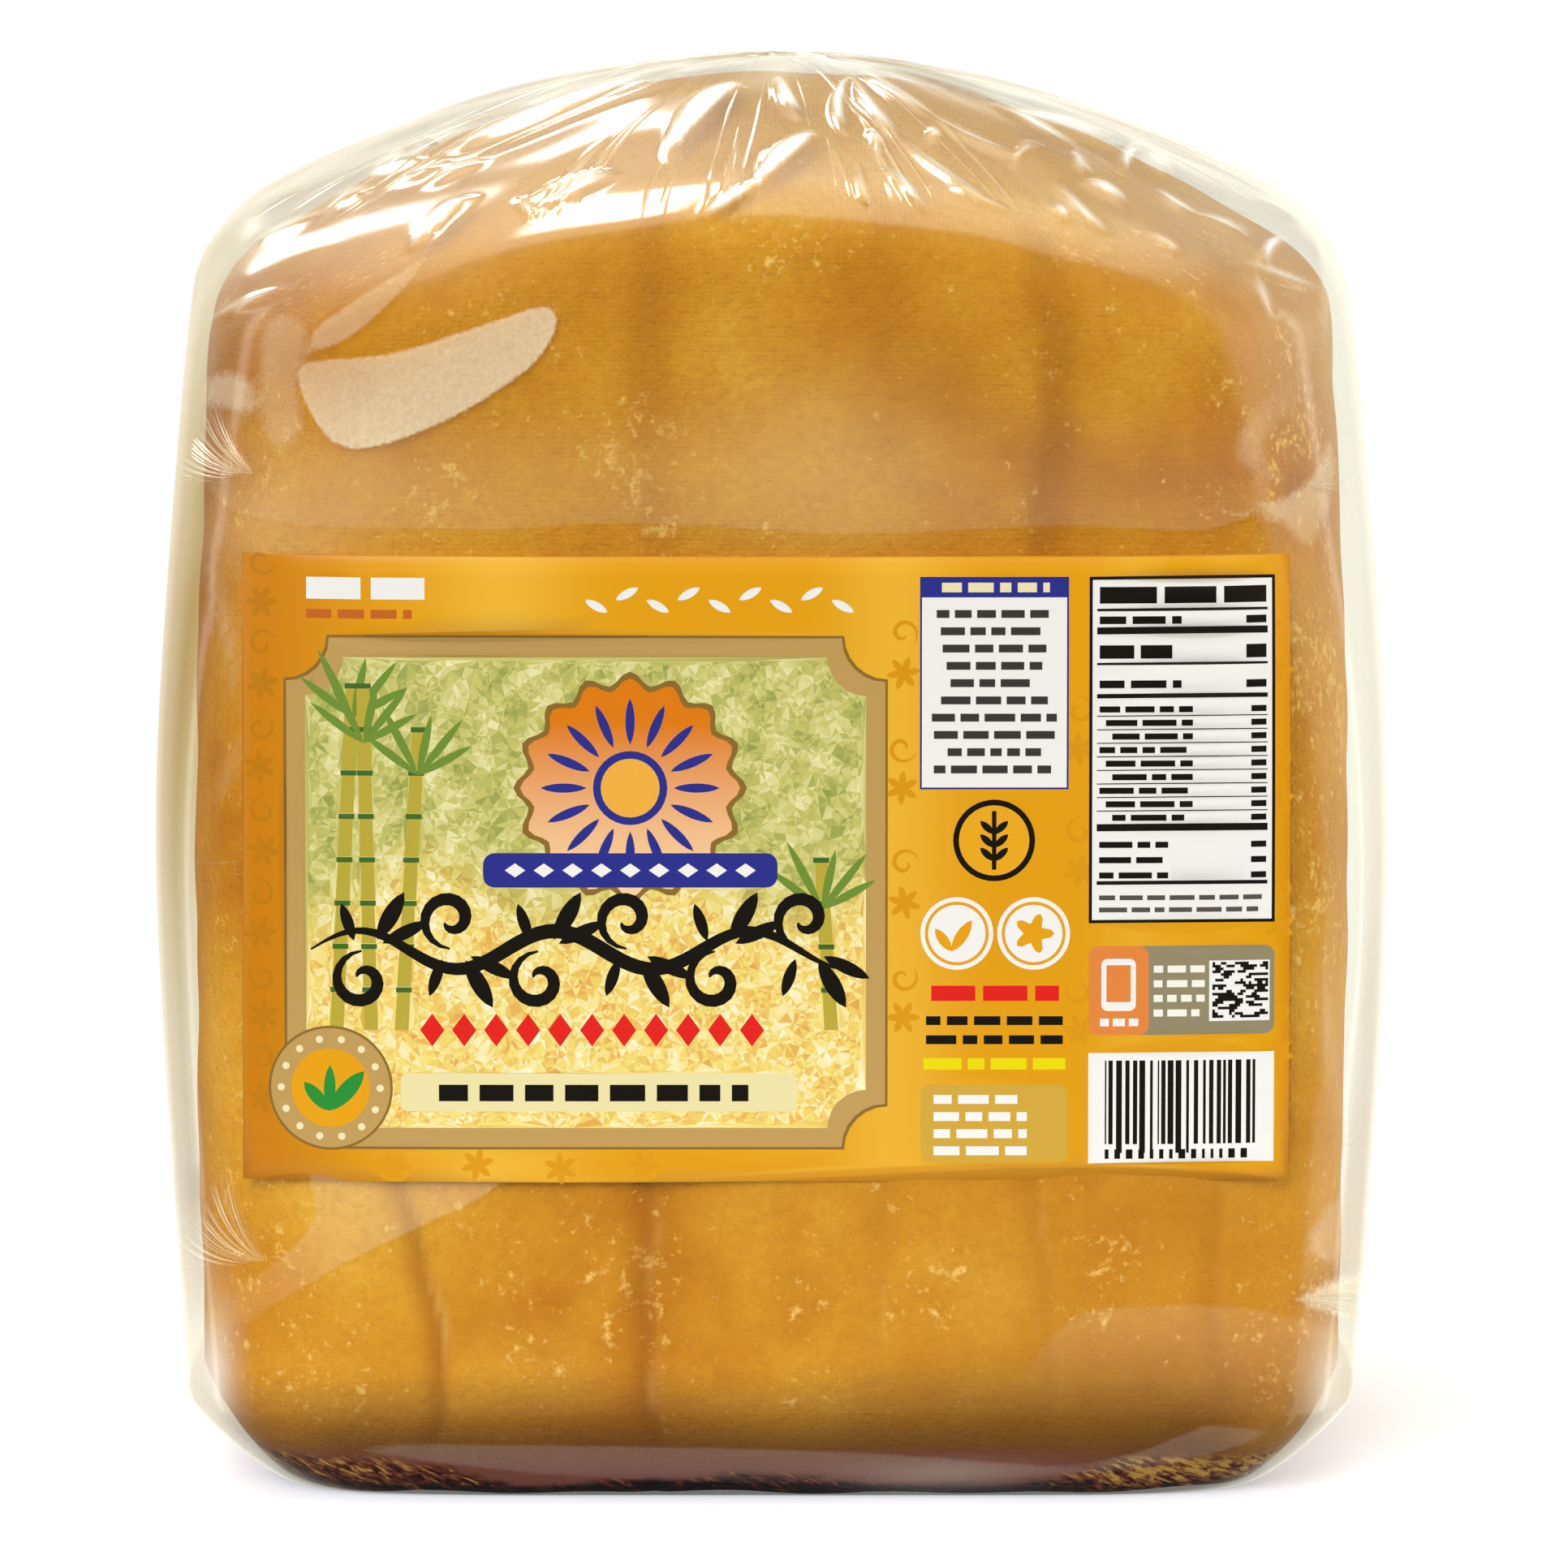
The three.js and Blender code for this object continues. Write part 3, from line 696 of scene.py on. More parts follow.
def film_material():
    """Biaxially stretched polypropylene film: clear and glossy, a mirror at grazing angles, milky
    where it stands off the sugar or is folded double, with fine wrinkles. Painted highlights turn it
    milky white along the crests of its folds and at its lower corners, and a painted reflection tints
    its grazing left edge tan."""
    material, node = new_material("clear_polypropylene_film")
    creased = node("Math", (fan_nodes(node), 1.7, wrinkle_nodes(node)), **LINEAR)
    edgeways = node("LayerWeight", {"Blend": 0.5}, "Facing")
    steep = node("Math", (edgeways, 2.5), operation="POWER")
    # Two faces of film send back 7 % square on, and more and more of the light towards grazing.
    mirror = node("Math", (steep, 0.42, 0.07), **HELD)
    milky = node("Math", (creased, 0.20, haze_nodes(node)), **LINEAR)
    milky = node("Math", (steep, 0.03, milky), **HELD)
    cover = node("Math", (mirror, milky), operation="ADD", use_clamp=True)
    metal = node("Math", (mirror, cover), operation="DIVIDE", use_clamp=True)
    bump = node("Bump", {"Height": creased, "Strength": 0.6, "Distance": 0.0002})
    # Where the painted highlights lie, on fold crests and the low corners, the cream milk turns white.
    veil = node("Attribute", output="Fac", attribute_name="veil")
    whiter = node("Math", (veil, 3.0, -0.4), **HELD)
    milk = node("Mix", {0: whiter, 6: "#FEF4CC", 7: "#FFFFFF"}, **OVERLAY)
    white = node("Mix", {0: metal, 6: milk, 7: "#FFFFFC"}, **OVERLAY)
    gloss = node("BsdfPrincipled",
                 {"Base Color": white, "Metallic": metal, "Normal": bump, "Roughness": 0.14})
    # A painted reflection: a tan tint at grazing on the film's left side, strongest at mid height, for the
    # dim surroundings it shows there.
    warm = node("Attribute", output="Fac", attribute_name="warm")
    grazing = node("Mix", {0: warm, 6: "#F7F8F2", 7: "#D9C797"}, **OVERLAY)
    tinted = node("Math", (steep, 4.0), use_clamp=True, **PRODUCT)
    tint = node("Mix", {0: tinted, 6: "#FEFEFA", 7: grazing}, **OVERLAY)
    clear = node("BsdfTransparent", {"Color": tint})
    node("OutputMaterial", {"Surface": node("MixShader", (cover, clear, gloss))})
    return material


def label_material():
    """Coated label paper, offset printed: smooth and semi-gloss, its colours from the ink laid on
    each part."""
    material, node = new_material("coated_label_paper")
    ink = node("Attribute", output="Color", attribute_name="ink")
    paper = node("BsdfPrincipled",
                 {"Base Color": ink, "Roughness": 0.42, "IOR": 1.5, "Specular IOR Level": 0.3})
    node("OutputMaterial", {"Surface": paper})
    return material


# ---------------------------------------------------------------- the label's print

# Shapes lie on the label's own plane: across from its left edge and up from its lower edge, in mm.
LABEL_SIZE = LABEL_HIGH - LABEL_LOW
LABEL_OFFSET = 0.30  # in front of the film
LABEL_THICKNESS = 0.14
PAPER_WHITE = 0.75  # the share of light that white paper sends back
LABEL_MESH = 1.4  # how often the plain ground has a point, so that it bends with the front
FIELD_SPANS = ((5.3, 48.7), (4.5, 41.0))  # of the picture's mottled field, across and up
FIELD_POINTS = 8000

ORANGE, DEEP_ORANGE, LIGHT_ORANGE = "#E5A10C", "#CE8009", "#F2BC3A"
TAN, DARK_TAN, CREAM = "#BE9A58", "#8C6A2C", "#EFE3B4"
LEAF_GREEN, DARK_GREEN, NAVY, BLACK = "#269035", "#3F6A2C", "#2B2F8C", "#18140F"
RED, YELLOW, WHITE, TAUPE, CORAL = "#E0201A", "#E8D800", "#F1F0EC", "#92896A", "#E2863E"


def box_loop(left, low, right, high, corner=0.0):
    """A rectangle; a positive corner rounds it outwards, a negative one scoops it inwards."""
    if not corner:
        return np.array([(left, low), (right, low), (right, high), (left, high)])
    r = abs(corner)
    sweep = np.linspace(0, math.pi / 2, 7)
    arcs = []
    for k, (x, y) in enumerate([(right, low), (right, high), (left, high), (left, low)]):
        if corner > 0:
            x += -r if x == right else r
            y += -r if y == high else r
            arcs.append(points_round(x, y, r, sweep + (k - 1) * math.pi / 2))
        else:
            arcs.append(points_round(x, y, r, (k + 2) * math.pi / 2 - sweep))
    return np.concatenate(arcs)


def points_round(x, y, radius, turn):
    """The points at a radius and a turn from (x, y)."""
    return np.stack([x + radius * np.cos(turn), y + radius * np.sin(turn)], -1)


def ring_loop(x, y, radius, sides=32, wave=0.0, waves=0):
    """A circle, its radius rippled by 1 + wave * cos(waves * angle)."""
    turn = np.arange(sides) / sides * 2 * math.pi
    return points_round(x, y, radius * (1 + wave * np.cos(waves * turn)), turn)


def leaf_loop(x, y, length, width, angle):
    """A pointed leaf from (x, y): width times s(1-s) to a power either side of its length."""
    s = np.linspace(0, 1, 9)
    side = width * 2 * (s * (1 - s)) ** 0.8
    along = np.concatenate([s * length, s[-2:0:-1] * length])
    across = np.concatenate([-side, side[-2:0:-1]])
    c, n = math.cos(angle), math.sin(angle)
    return np.stack([x + along * c - across * n, y + along * n + across * c], -1)


def lozenge_loop(x, y, wide, high):
    """A diamond about (x, y)."""
    return np.array([(x - wide, y), (x, y - high), (x + wide, y), (x, y + high)])


def stroke_loop(path, width, tip=0.15):
    """A brush stroke along a line of points: width sin(pi s)^0.6, and never less than its tip."""
    path = np.array(path, dtype=float)
    s = np.linspace(0, 1, len(path))[:, None]
    half = width / 2 * np.maximum(np.sin(math.pi * s) ** 0.6, tip)
    tangent = np.gradient(path, axis=0)
    side = np.stack([-tangent[:, 1], tangent[:, 0]], -1) / np.linalg.norm(tangent, axis=1, keepdims=True)
    return np.concatenate([path - side * half, (path + side * half)[::-1]])


def curl_path(x, y, radius, start, turns):
    """A spiral that closes in: radius (1-s)^0.8 about a centre, through that many turns."""
    s = np.linspace(0, 0.86, 22)
    return points_round(x, y, radius * (1 - s) ** 0.8, start + turns * 2 * math.pi * s)


def word_inks(colour, left, right, low, high, longest, gap, lines=1, drop=0.0):
    """Lines of print seen as words, each a drop below the last: boxes of drawn lengths from left to
    right."""
    inks = []
    for line in range(lines):
        x = left
        while x < right - 0.5:
            end = min(right, x + DRAWS.uniform(0.35, 1.0) * longest)
            inks.append((box_loop(x, low - drop * line, end, high - drop * line), colour))
            x = end + gap
    return inks


def blend(share, *colours):
    """A mix of hex colours laid evenly from share 0 to share 1, as linear red, green and blue."""
    places = np.linspace(0, 1, len(colours))
    channels = np.transpose([srgb(colour)[:3] for colour in colours])
    return np.stack([np.interp(share, places, channel) for channel in channels], -1)


# Soft upright painted highlights down the label's ground, sheens of light: across, half width, how bright.
SHEENS = [(20.5, 5.2, 0.85), (51.0, 4.0, 0.75), (69.8, 2.4, 0.45), (77.0, 1.6, 0.30)]


def paint_ground(centres):
    """Orange, deeper towards both ends, in print and in painted shade where the label turns round,
    with soft upright painted highlights, and a touch darker below.
    """
    across, up = centres[:, 0], centres[:, 1]
    ends = np.minimum(smooth(across / 14), smooth((LABEL_SIZE[0] - across + 1) / 2.5))
    sheen = sum(bright * bell(across - middle, wide) for middle, wide, bright in SHEENS)[:, None]
    colour = blend(ends, DEEP_ORANGE, ORANGE) * (1 - sheen) + np.array(srgb(LIGHT_ORANGE)[:3]) * sheen
    return colour * (0.93 + 0.07 * up[:, None] / LABEL_SIZE[2])


def paint_field(centres):
    """A mottled cane field: olive and straw leaves above, pale straw and ochre stubble below."""
    x, y = centres[:, 0], centres[:, 1]
    blot = np.sin(x * 1.3 + 2.0 * np.sin(y * 0.55)) * np.sin(y * 1.1 - x * 0.35)
    speck = DRAWS.uniform(-1, 1, len(centres))
    height = np.clip((y - 20 + 2.2 * np.sin(x * 0.33)) / 6, 0, 1)[:, None]
    leaves = blend((blot * 0.5 + speck * 0.5 + 1) / 2, "#8C9A4A", "#C9C46C", "#F1EBB4")
    stubble = blend((blot * 0.35 + speck * 0.65 + 1) / 2, "#DFA24C", "#F0DA72", "#F8F3D2")
    return leaves * height + stubble * (1 - height)


def paint_sun(centres):
    """Orange at the top, fading to pale apricot below."""
    return blend((centres[:, 1] - 24) / 12, "#F6D0A0", "#DE7C0A")


def ornament_inks():
    """Traditional rosettes and curls, tone on tone, in the margins."""
    inks = []
    spots = [(1.6, 45.4), (1.7, 39.0), (1.5, 32.5), (1.8, 26.0), (1.5, 19.5), (1.7, 13.0), (1.6, 6.5),
             (12.0, 1.2), (18.5, 1.4), (25.0, 1.1), (31.5, 1.4), (51.8, 40.0), (51.7, 31.0),
             (51.9, 22.0), (51.8, 13.0), (65.6, 24.5), (65.5, 34.0), (65.6, 12.0), (81.2, 30.0),
             (81.3, 20.0), (81.2, 10.0), (81.2, 40.0)]
    for k, (x, y) in enumerate(spots):
        tone = "#BE7A0A" if x < 4 else "#D9970F"
        inks += [(leaf_loop(x, y, 1.35, 0.42, petal * math.pi / 3 + 0.3 * k), tone) for petal in range(6)]
        inks.append((stroke_loop(curl_path(x, y + 3.1, 1.15, 0.5 * k, 1.2 if k % 2 else -1.2), 0.34), tone))
    return inks


def cane_inks():
    """Cane stems with joints and long leaves, at the left of the picture."""
    inks = []
    base, spacing, length = 12.0, 3.4, 3.1
    for x, lean, top in ((7.5, 0.05, 39.0), (10.2, -0.02, 37.0), (12.6, 0.06, 34.5), (46.2, -0.06, 24.0)):
        for low in np.arange(base, top, spacing):
            high = low + length
            x0 = x + lean * (low - base)
            x1 = x + lean * (high - base)
            stem = np.array([(x0 - 0.55, low), (x0 + 0.55, low), (x1 + 0.5, high), (x1 - 0.5, high)])
            inks.append((stem, "#B9A83A"))
            inks.append((box_loop(x1 - 0.62, low + 2.95, x1 + 0.62, low + 3.35), DARK_GREEN))
        tip = x + lean * (top - base)
        inks += [(leaf_loop(tip, top - 2.5, long * 0.8, 0.5, turn), "#6F8F34")
                 for turn, long in ((2.5, 6.5), (2.05, 7.5), (1.35, 6.0), (0.9, 7.0), (0.5, 6.0))]
    return inks


def scroll_inks():
    """A black vine in place of a title: a waving stem with curls and leaves either side."""
    middle = 18.3
    s = np.linspace(0, 1, 60)
    loops = [stroke_loop(np.stack([5.5 + 42.0 * s, middle + 1.5 * np.sin(s * 5.5 * math.pi)], -1), 1.15)]
    for k in range(6):
        x = 9.5 + 6.9 * k
        up = 1 if k % 2 else -1
        loops.append(stroke_loop(curl_path(x, middle + up * 2.4, 2.3, -up * math.pi / 2, -up * 1.35), 1.0))
        for along, below, length, width, turn in ((1.2, 0.8, 4.3, 1.0, 1.05), (1.6, 0.5, 4.0, 0.8, 0.45),
                                                  (-0.6, 0.7, 3.1, 0.7, 1.9)):
            loops.append(leaf_loop(x + along, middle - up * below, length, width, -up * turn))
    return [(loop, BLACK) for loop in loops]


def picture_inks():
    """The framed picture: a scooped tan frame, a cane field, a sun over a ribbon, the scroll, a row
    of red lozenges and a pale strip."""
    sun = (30.5, 31.0)
    inks = [(box_loop(3.4, 2.6, 50.6, 42.9, -3.4), DARK_TAN), (box_loop(3.6, 2.8, 50.4, 42.7, -3.4), TAN),
            (box_loop(5.1, 4.3, 48.9, 41.2, -3.0), paint_field)] + cane_inks()
    inks += [(ring_loop(*sun, radius, 96, 0.06, 16), paint)
             for radius, paint in ((8.6, DARK_TAN), (8.1, paint_sun))]
    inks += [(leaf_loop(*points_round(*sun, 3.4, turn), 3.6, 0.55, turn), NAVY)
             for turn in np.arange(16) * math.pi / 8]
    inks += [(ring_loop(*sun, 2.9), NAVY), (ring_loop(*sun, 2.3), "#F0B040"),
             (box_loop(19.0, 23.2, 42.0, 25.9, 0.9), NAVY)]
    inks += [(lozenge_loop(21.5 + 2.25 * k, 24.55, 0.8, 0.55), WHITE) for k in range(9)] + scroll_inks()
    inks += [(lozenge_loop(15.0 + 2.5 * k, 12.0, 0.95, 1.3), RED) for k in range(11)]
    inks.append((box_loop(12.5, 5.6, 43.5, 8.6, 0.6), "#E8DEA6"))
    return inks + word_inks(BLACK, 15.5, 40.5, 6.4, 7.7, 3.4, 0.9)


def badge_inks():
    """Round badges: a green sprig in a tan ring, two white ones, a dark one with an ear of grain."""
    sprig, check, star, ear = (7.0, 7.4), (56.0, 19.6), (62.0, 19.6), (58.9, 26.9)
    rings = [(sprig, 4.9, 48, DARK_TAN), (sprig, 4.7, 48, TAN), (sprig, 3.1, 40, ORANGE)]
    inks = [(ring_loop(*middle, radius, sides), colour) for middle, radius, sides, colour in rings]
    inks += [(leaf_loop(6.9, 5.6, length, width, turn), LEAF_GREEN)
             for length, width, turn in ((4.2, 1.0, 0.85), (3.0, 0.8, 2.3), (3.6, 0.7, 1.55))]
    inks += [(ring_loop(*points_round(*sprig, 3.9, k * math.pi / 7), 0.3, 8), CREAM) for k in range(14)]
    inks += [(ring_loop(*middle, radius, 40), colour) for middle in (check, star)
             for radius, colour in ((2.85, WHITE), (2.5, ORANGE), (2.25, WHITE))]
    inks += [(leaf_loop(55.6, 18.2, 2.9, 0.7, 1.0), ORANGE), (leaf_loop(55.6, 18.2, 2.2, 0.6, 2.2), ORANGE),
             (ring_loop(*star, 1.2, 30, 0.35, 5), ORANGE),
             (ring_loop(*ear, 3.2, 44), BLACK), (ring_loop(*ear, 2.75, 40), "#E9A91C"),
             (stroke_loop([(ear[0], up) for up in (24.6, 26.0, 27.4, 29.2)], 0.35, 1.0), BLACK)]
    return inks + [(leaf_loop(ear[0], 25.3 + 1.05 * k, 1.5, 0.42, turn), BLACK) for k in range(3)
                   for turn in (0.75, 2.39)]


def panel_inks():
    """The plain information panels: a narrow one with a navy head, a ruled table, and short lines."""
    inks = [(box_loop(53.1, 30.9, 64.7, 47.5), NAVY), (box_loop(53.25, 31.05, 64.55, 45.9), WHITE)]
    inks += word_inks(CREAM, 54.8, 63.2, 46.3, 47.05, 2.2, 0.5)
    for row in range(10):
        inset = 0.6 + DRAWS.uniform(0, 1.6)
        low = 44.3 - 1.35 * row
        inks += word_inks("#3A3834", 53.3 + inset, 64.5 - inset, low, low + 0.62, 2.4, 0.42)
    inks += [(box_loop(66.3, 20.4, 80.9, 47.5), BLACK), (box_loop(66.55, 20.65, 80.65, 47.25), WHITE)]
    inks += word_inks(BLACK, 67.1, 80.2, 45.4, 46.7, 5.0, 0.6)
    rules = [(44.8, 0.2), (43.0, 0.55), (40.6, 0.18), (38.0, 0.35), (27.6, 0.5), (23.4, 0.3)]
    inks += [(box_loop(66.9, y, 80.3, y + thick), BLACK) for y, thick in rules]
    # Rows of the table: left and right of its words, how low, how high, the longest word, the gap,
    # and the left of its number. The nine of the middle have a hairline below.
    rows = [(67.1, 73.5, y, high, longest, 0.5, 78.6)
            for y, high, longest in ((43.8, 0.6, 3.0), (41.1, 1.05, 4.0), (38.8, 0.6, 3.0))]
    rows += [(67.1 + (row % 3) * 0.5, 74.4, 36.9 - 1.06 * row, 0.48, 2.8, 0.4, 79.0) for row in range(9)]
    rows += [(67.1, 72.5, 26.3 - 1.2 * row, 0.48, 2.8, 0.4, 79.0) for row in range(3)]
    for row, (left, right, low, high, longest, gap, number) in enumerate(rows):
        inks += word_inks(BLACK, left, right, low, low + high, longest, gap)
        inks.append((box_loop(number, low, 80.2, low + high), BLACK))
        if 3 <= row < 12:
            inks.append((box_loop(66.9, low - 0.33, 80.3, low - 0.25), BLACK))
    inks += word_inks("#55524C", 67.1, 80.1, 22.2, 22.58, 2.2, 0.35, 2, 0.95)
    inks += word_inks(RED, 54.0, 64.0, 14.3, 15.5, 4.2, 0.6)
    inks += word_inks(BLACK, 53.6, 64.3, 12.4, 13.1, 3.0, 0.5, 2, 1.5)
    inks += word_inks(YELLOW, 53.4, 64.5, 8.9, 9.8, 3.2, 0.5)
    inks.append((box_loop(53.2, 1.6, 64.7, 7.7, 0.7), "#CFA63C"))
    inks += word_inks(WHITE, 54.2, 61.5, 6.2, 6.9, 2.8, 0.5, 4, 1.35)
    inks += word_inks(WHITE, 5.2, 14.5, 45.7, 47.4, 5.5, 0.8)
    inks += word_inks("#C2641A", 5.2, 13.5, 44.2, 44.9, 2.4, 0.5)
    return inks + [(leaf_loop(27.0 + 2.4 * k, 45.7, 2.0, 0.5, 0.5 if k % 2 else -0.5), WHITE)
                   for k in range(9)]


def code_inks():
    """A bar pattern and a square lattice, drawn at random, so that neither can be read."""
    inks = [(box_loop(66.3, 1.5, 80.9, 10.2), WHITE)]
    x = 67.6
    while x < 79.4:
        width = DRAWS.choice([0.12, 0.22, 0.34, 0.46])
        inks.append((box_loop(x, 3.0 if DRAWS.uniform() < 0.85 else 2.3, x + width, 9.6), BLACK))
        x += width + DRAWS.choice([0.16, 0.26, 0.38])
    inks += word_inks(BLACK, 67.6, 79.6, 1.85, 2.6, 0.55, 0.45)
    inks += [(box_loop(66.3, 11.6, 80.9, 18.6, 0.8), TAUPE), (box_loop(66.3, 11.6, 71.0, 18.6, 0.8), CORAL),
             (box_loop(67.3, 13.5, 70.0, 17.6, 0.5), WHITE), (box_loop(67.7, 14.2, 69.6, 17.1), CORAL)]
    inks += word_inks(WHITE, 67.2, 70.2, 12.3, 12.9, 1.2, 0.3)
    inks += word_inks("#F4F2E6", 71.4, 75.4, 16.5, 17.05, 1.8, 0.35, 4, 1.15)
    left, low, cell, cells = 76.0, 12.9, 0.22, 20
    far = (cells + 1) * cell - 0.1
    inks.append((box_loop(left - 0.25, low - 0.25, left + far, low + far), WHITE))
    for row in range(cells):
        column = 0
        while column < cells:
            run = int(DRAWS.integers(1, 4))
            if DRAWS.uniform() < 0.5:
                x, y = left + column * cell, low + row * cell
                inks.append((box_loop(x, y, left + min(column + run, cells) * cell, y + cell), BLACK))
            column += run
    return inks


def front_face(x, z):
    """The film's front at x and height z: the dome's fall at that depth gives the level, and the
    plan at that level gives the depth; a few turns settle it."""
    y = np.full_like(x, -FILM.half_depth)
    for _ in range(4):
        t = z / dome_factor(FILM, x, y) / FILM.height
        n = squareness(FILM, t)
        y = -FILM.half_depth * (1 - np.abs(x / half_width_at(FILM, t)) ** n) ** (1 / n)
    return y


def label_mesh_points(inks):
    """The plane's partition: every ink's outline, a lattice of points for the ground and a drawn
    scatter for the field, cut into triangles that know which inks they lie under."""
    width, height = LABEL_SIZE[0], LABEL_SIZE[2]
    loops = [box_loop(0, 0, width, height)] + [loop for loop, _ in inks]
    points, faces = [], []
    for loop in loops:
        area = np.sum(loop[:, 0] * np.roll(loop[:, 1], -1) - np.roll(loop[:, 0], -1) * loop[:, 1])
        ordered = loop if area > 0 else loop[::-1]
        faces.append(list(range(len(points), len(points) + len(ordered))))
        points += ordered.tolist()
    across, up = np.meshgrid(*[np.arange(LABEL_MESH, length, LABEL_MESH) for length in (width, height)])
    points += np.stack([across.ravel(), up.ravel()], -1).tolist()
    points += np.stack([DRAWS.uniform(*span, FIELD_POINTS) for span in FIELD_SPANS], -1).tolist()
    return delaunay_2d_cdt([Vector(p) for p in points], [], faces, 1, 1e-4)


def make_label():
    """The printed label: one thin closed sheet bent round the film's front, its face divided along
    the print."""
    inks = [(None, paint_ground)]
    for section in (ornament_inks, picture_inks, badge_inks, panel_inks, code_inks):
        inks += section()
    points, _, faces, _, _, owners = label_mesh_points(inks[1:])
    flat = np.array([(p.x, p.y) for p in points])
    x, z = flat[:, 0] + LABEL_LOW[0], flat[:, 1] + LABEL_LOW[2]
    front = np.stack([x, front_face(x, z) + MIDDLE_Y - LABEL_OFFSET, z], -1)
    back = front + np.array([0, LABEL_THICKNESS, 0])
    count = len(flat)
    edges = dict.fromkeys(edge for face in faces for edge in zip(face, face[1:] + face[:1]))
    rim = [(a, b) for a, b in edges if (b, a) not in edges]
    skin = [list(face) for face in faces]
    skin += [[count + i for i in reversed(face)] for face in faces]
    skin += [[b, a, count + a, count + b] for a, b in rim]
    label = add_mesh("printed_label", np.concatenate([front, back]), skin, label_material())
    centres = np.array([flat[face].mean(axis=0) for face in faces])
    top = np.array([max(owner, default=0) for owner in owners])
    face_colour = np.tile(srgb(ORANGE)[:3], (len(skin), 1))
    for index, (_, paint) in enumerate(inks):
        mine = np.flatnonzero(top == index)
        if len(mine):
            face_colour[mine] = paint(centres[mine]) if callable(paint) else srgb(paint)[:3]
    sizes = [len(face) for face in skin]
    colour = np.repeat(face_colour, sizes, axis=0)
    # The ground's and the sun's colours run smoothly from corner to corner.
    corner_places = flat[np.concatenate(skin) % count]
    corner_tops = np.repeat(np.pad(top, (0, len(skin) - len(top)), constant_values=-1), sizes)
    for index, (_, paint) in enumerate(inks):
        if paint in (paint_ground, paint_sun):
            mine = corner_tops == index
            colour[mine] = paint(corner_places[mine])
    corners = np.concatenate([colour * PAPER_WHITE, np.ones((len(colour), 1))], axis=1)
    attribute = label.data.color_attributes.new("ink", "FLOAT_COLOR", "CORNER")
    attribute.data.foreach_set("color", corners.astype(np.float32).reshape(-1))
    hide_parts("front_label")


# ---------------------------------------------------------------- pieces

def make_film():
    """The clear wrap round the block."""
    grid = film_grid()
    points, faces = closed_skin(grid)
    film = add_mesh("clear_film", points, faces, film_material())
    u, v = seen(grid)
    z = grid[..., 2]
    front = facing(grid)
    depths, levels = haze_marks(u, v)
    # The fold crests are painted highlights: milky white where glints would catch on them.
    crest = sum(strength * np.clip(fold_height(u, v, folds) / full, 0, 1) ** 3
                for folds, full, strength in ((DOME_FOLDS, 0.45, 0.80), (SIDE_FOLDS, 0.12, 0.10)))
    set_attributes(
        film, haze_depths=depths, haze_levels=levels * front[..., None],
        veil=(crest + bell_sum(u, v, HAZE_CLOUDS)) * front,
        tuck=tuck_fans(u, v) * np.stack([np.ones_like(u), np.ones_like(u), front], -1),
        taut=0.75 * smooth((z - 100) / 5), warm=bell(z - 66, 30) * smooth(0.5 - grid[..., 0] / 60),
        pull=pull_direction(grid),
    )
    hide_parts("wrapped_block")


def furrow_marks(x, z):
    """Two shares across x: the painted shade in a furrow, deepening over its width from one side, and
    the painted highlight on the pale lip that ends it on the other; both wander and come and go with
    height."""
    dark = np.zeros_like(x)
    lip = np.zeros_like(x)
    for k, (middle, low, high, bend) in enumerate(FURROWS):
        wander = bend * np.sin(z / 6.0 + 2 * k + 3) + 0.16 * np.sin(z / 1.3 + k)
        across = (x - middle + wander) / FURROW_HALF_WIDTH
        there = furrow_share(z, low, high) * (0.75 + 0.25 * np.sin(z / 9.0 + 1.7 * k))
        sharp_side = 1 - smooth((across - 0.05) / (0.30 + 0.9 * smooth((z - 45) / 25)))
        dark = np.maximum(dark, smooth(across + 1.0) ** 1.5 * sharp_side * there)
        broken = (0.5 + 0.5 * np.sin(z / 1.9 + 3 * k)) * (1 - 0.85 * smooth((z - 40) / 25))
        lip = np.maximum(lip, bell(across - 0.17, 0.12) * there * broken)
    return dark, lip


LUMP_HEIGHT = 0.22  # of the block's unevenness, which only goes inwards
# What the block's material reads at each point.
BLOCK_MARKS = ["tone", "loose", "furrow", "lip", "crust", "bloom", "burnt", "golden"]
# Where loose crumbs gather on the block: across, up, half widths, and how much likelier they are.
LOOSE_SUGAR = [
    (44.5, 55, 3.5, 32, 0.085), (28, 91, 12, 7, 0.06), (-11, 82, 5, 6, 0.04), (-18, 94, 6, 4, 0.07),
    (-25, 17, 3, 5, 0.05), (8, 15, 9, 5, 0.03), (-20, 80, 10, 6, 0.015), (-16, 6, 5, 3, 0.05),
    (-9.4, 10, 1.6, 12, 0.05),
]
# Where the block is drawn darker or paler: across, up, half width, half height, how much.
TONE_MARKS = [
    (20, 88, 10, 5, -0.14), (9.5, 92.5, 3, 3.5, -0.3), (14.2, 86, 3.2, 4, -0.4), (21.5, 81, 5, 3, -0.42),
    (31, 78.2, 6, 2.4, -0.4), (-10.5, 90, 2.6, 9, -0.25), (-9.9, 12, 2.6, 11, -0.6), (36, 18, 7, 6, -0.35),
    (47, 35, 2.5, 26, 0.2), (18, 11, 8, 6, -0.2), (-34, 18.5, 6, 4, 0.55), (2, 15, 9, 5, 0.1),
    (-19, 4.5, 8, 3.5, 0.28), (0, 82, 12, 6, 0.15), (-1, 77, 14, 5, 0.4), (-20, 96, 9, 4, 0.12),
    (34, 6, 14, 3.5, -0.5), (10.5, 4, 5, 3.5, -0.28), (-20, 84, 6, 9, 0.14), (33, 84, 7, 7, -0.14),
    (42.5, 88, 4, 10, -0.22),
]


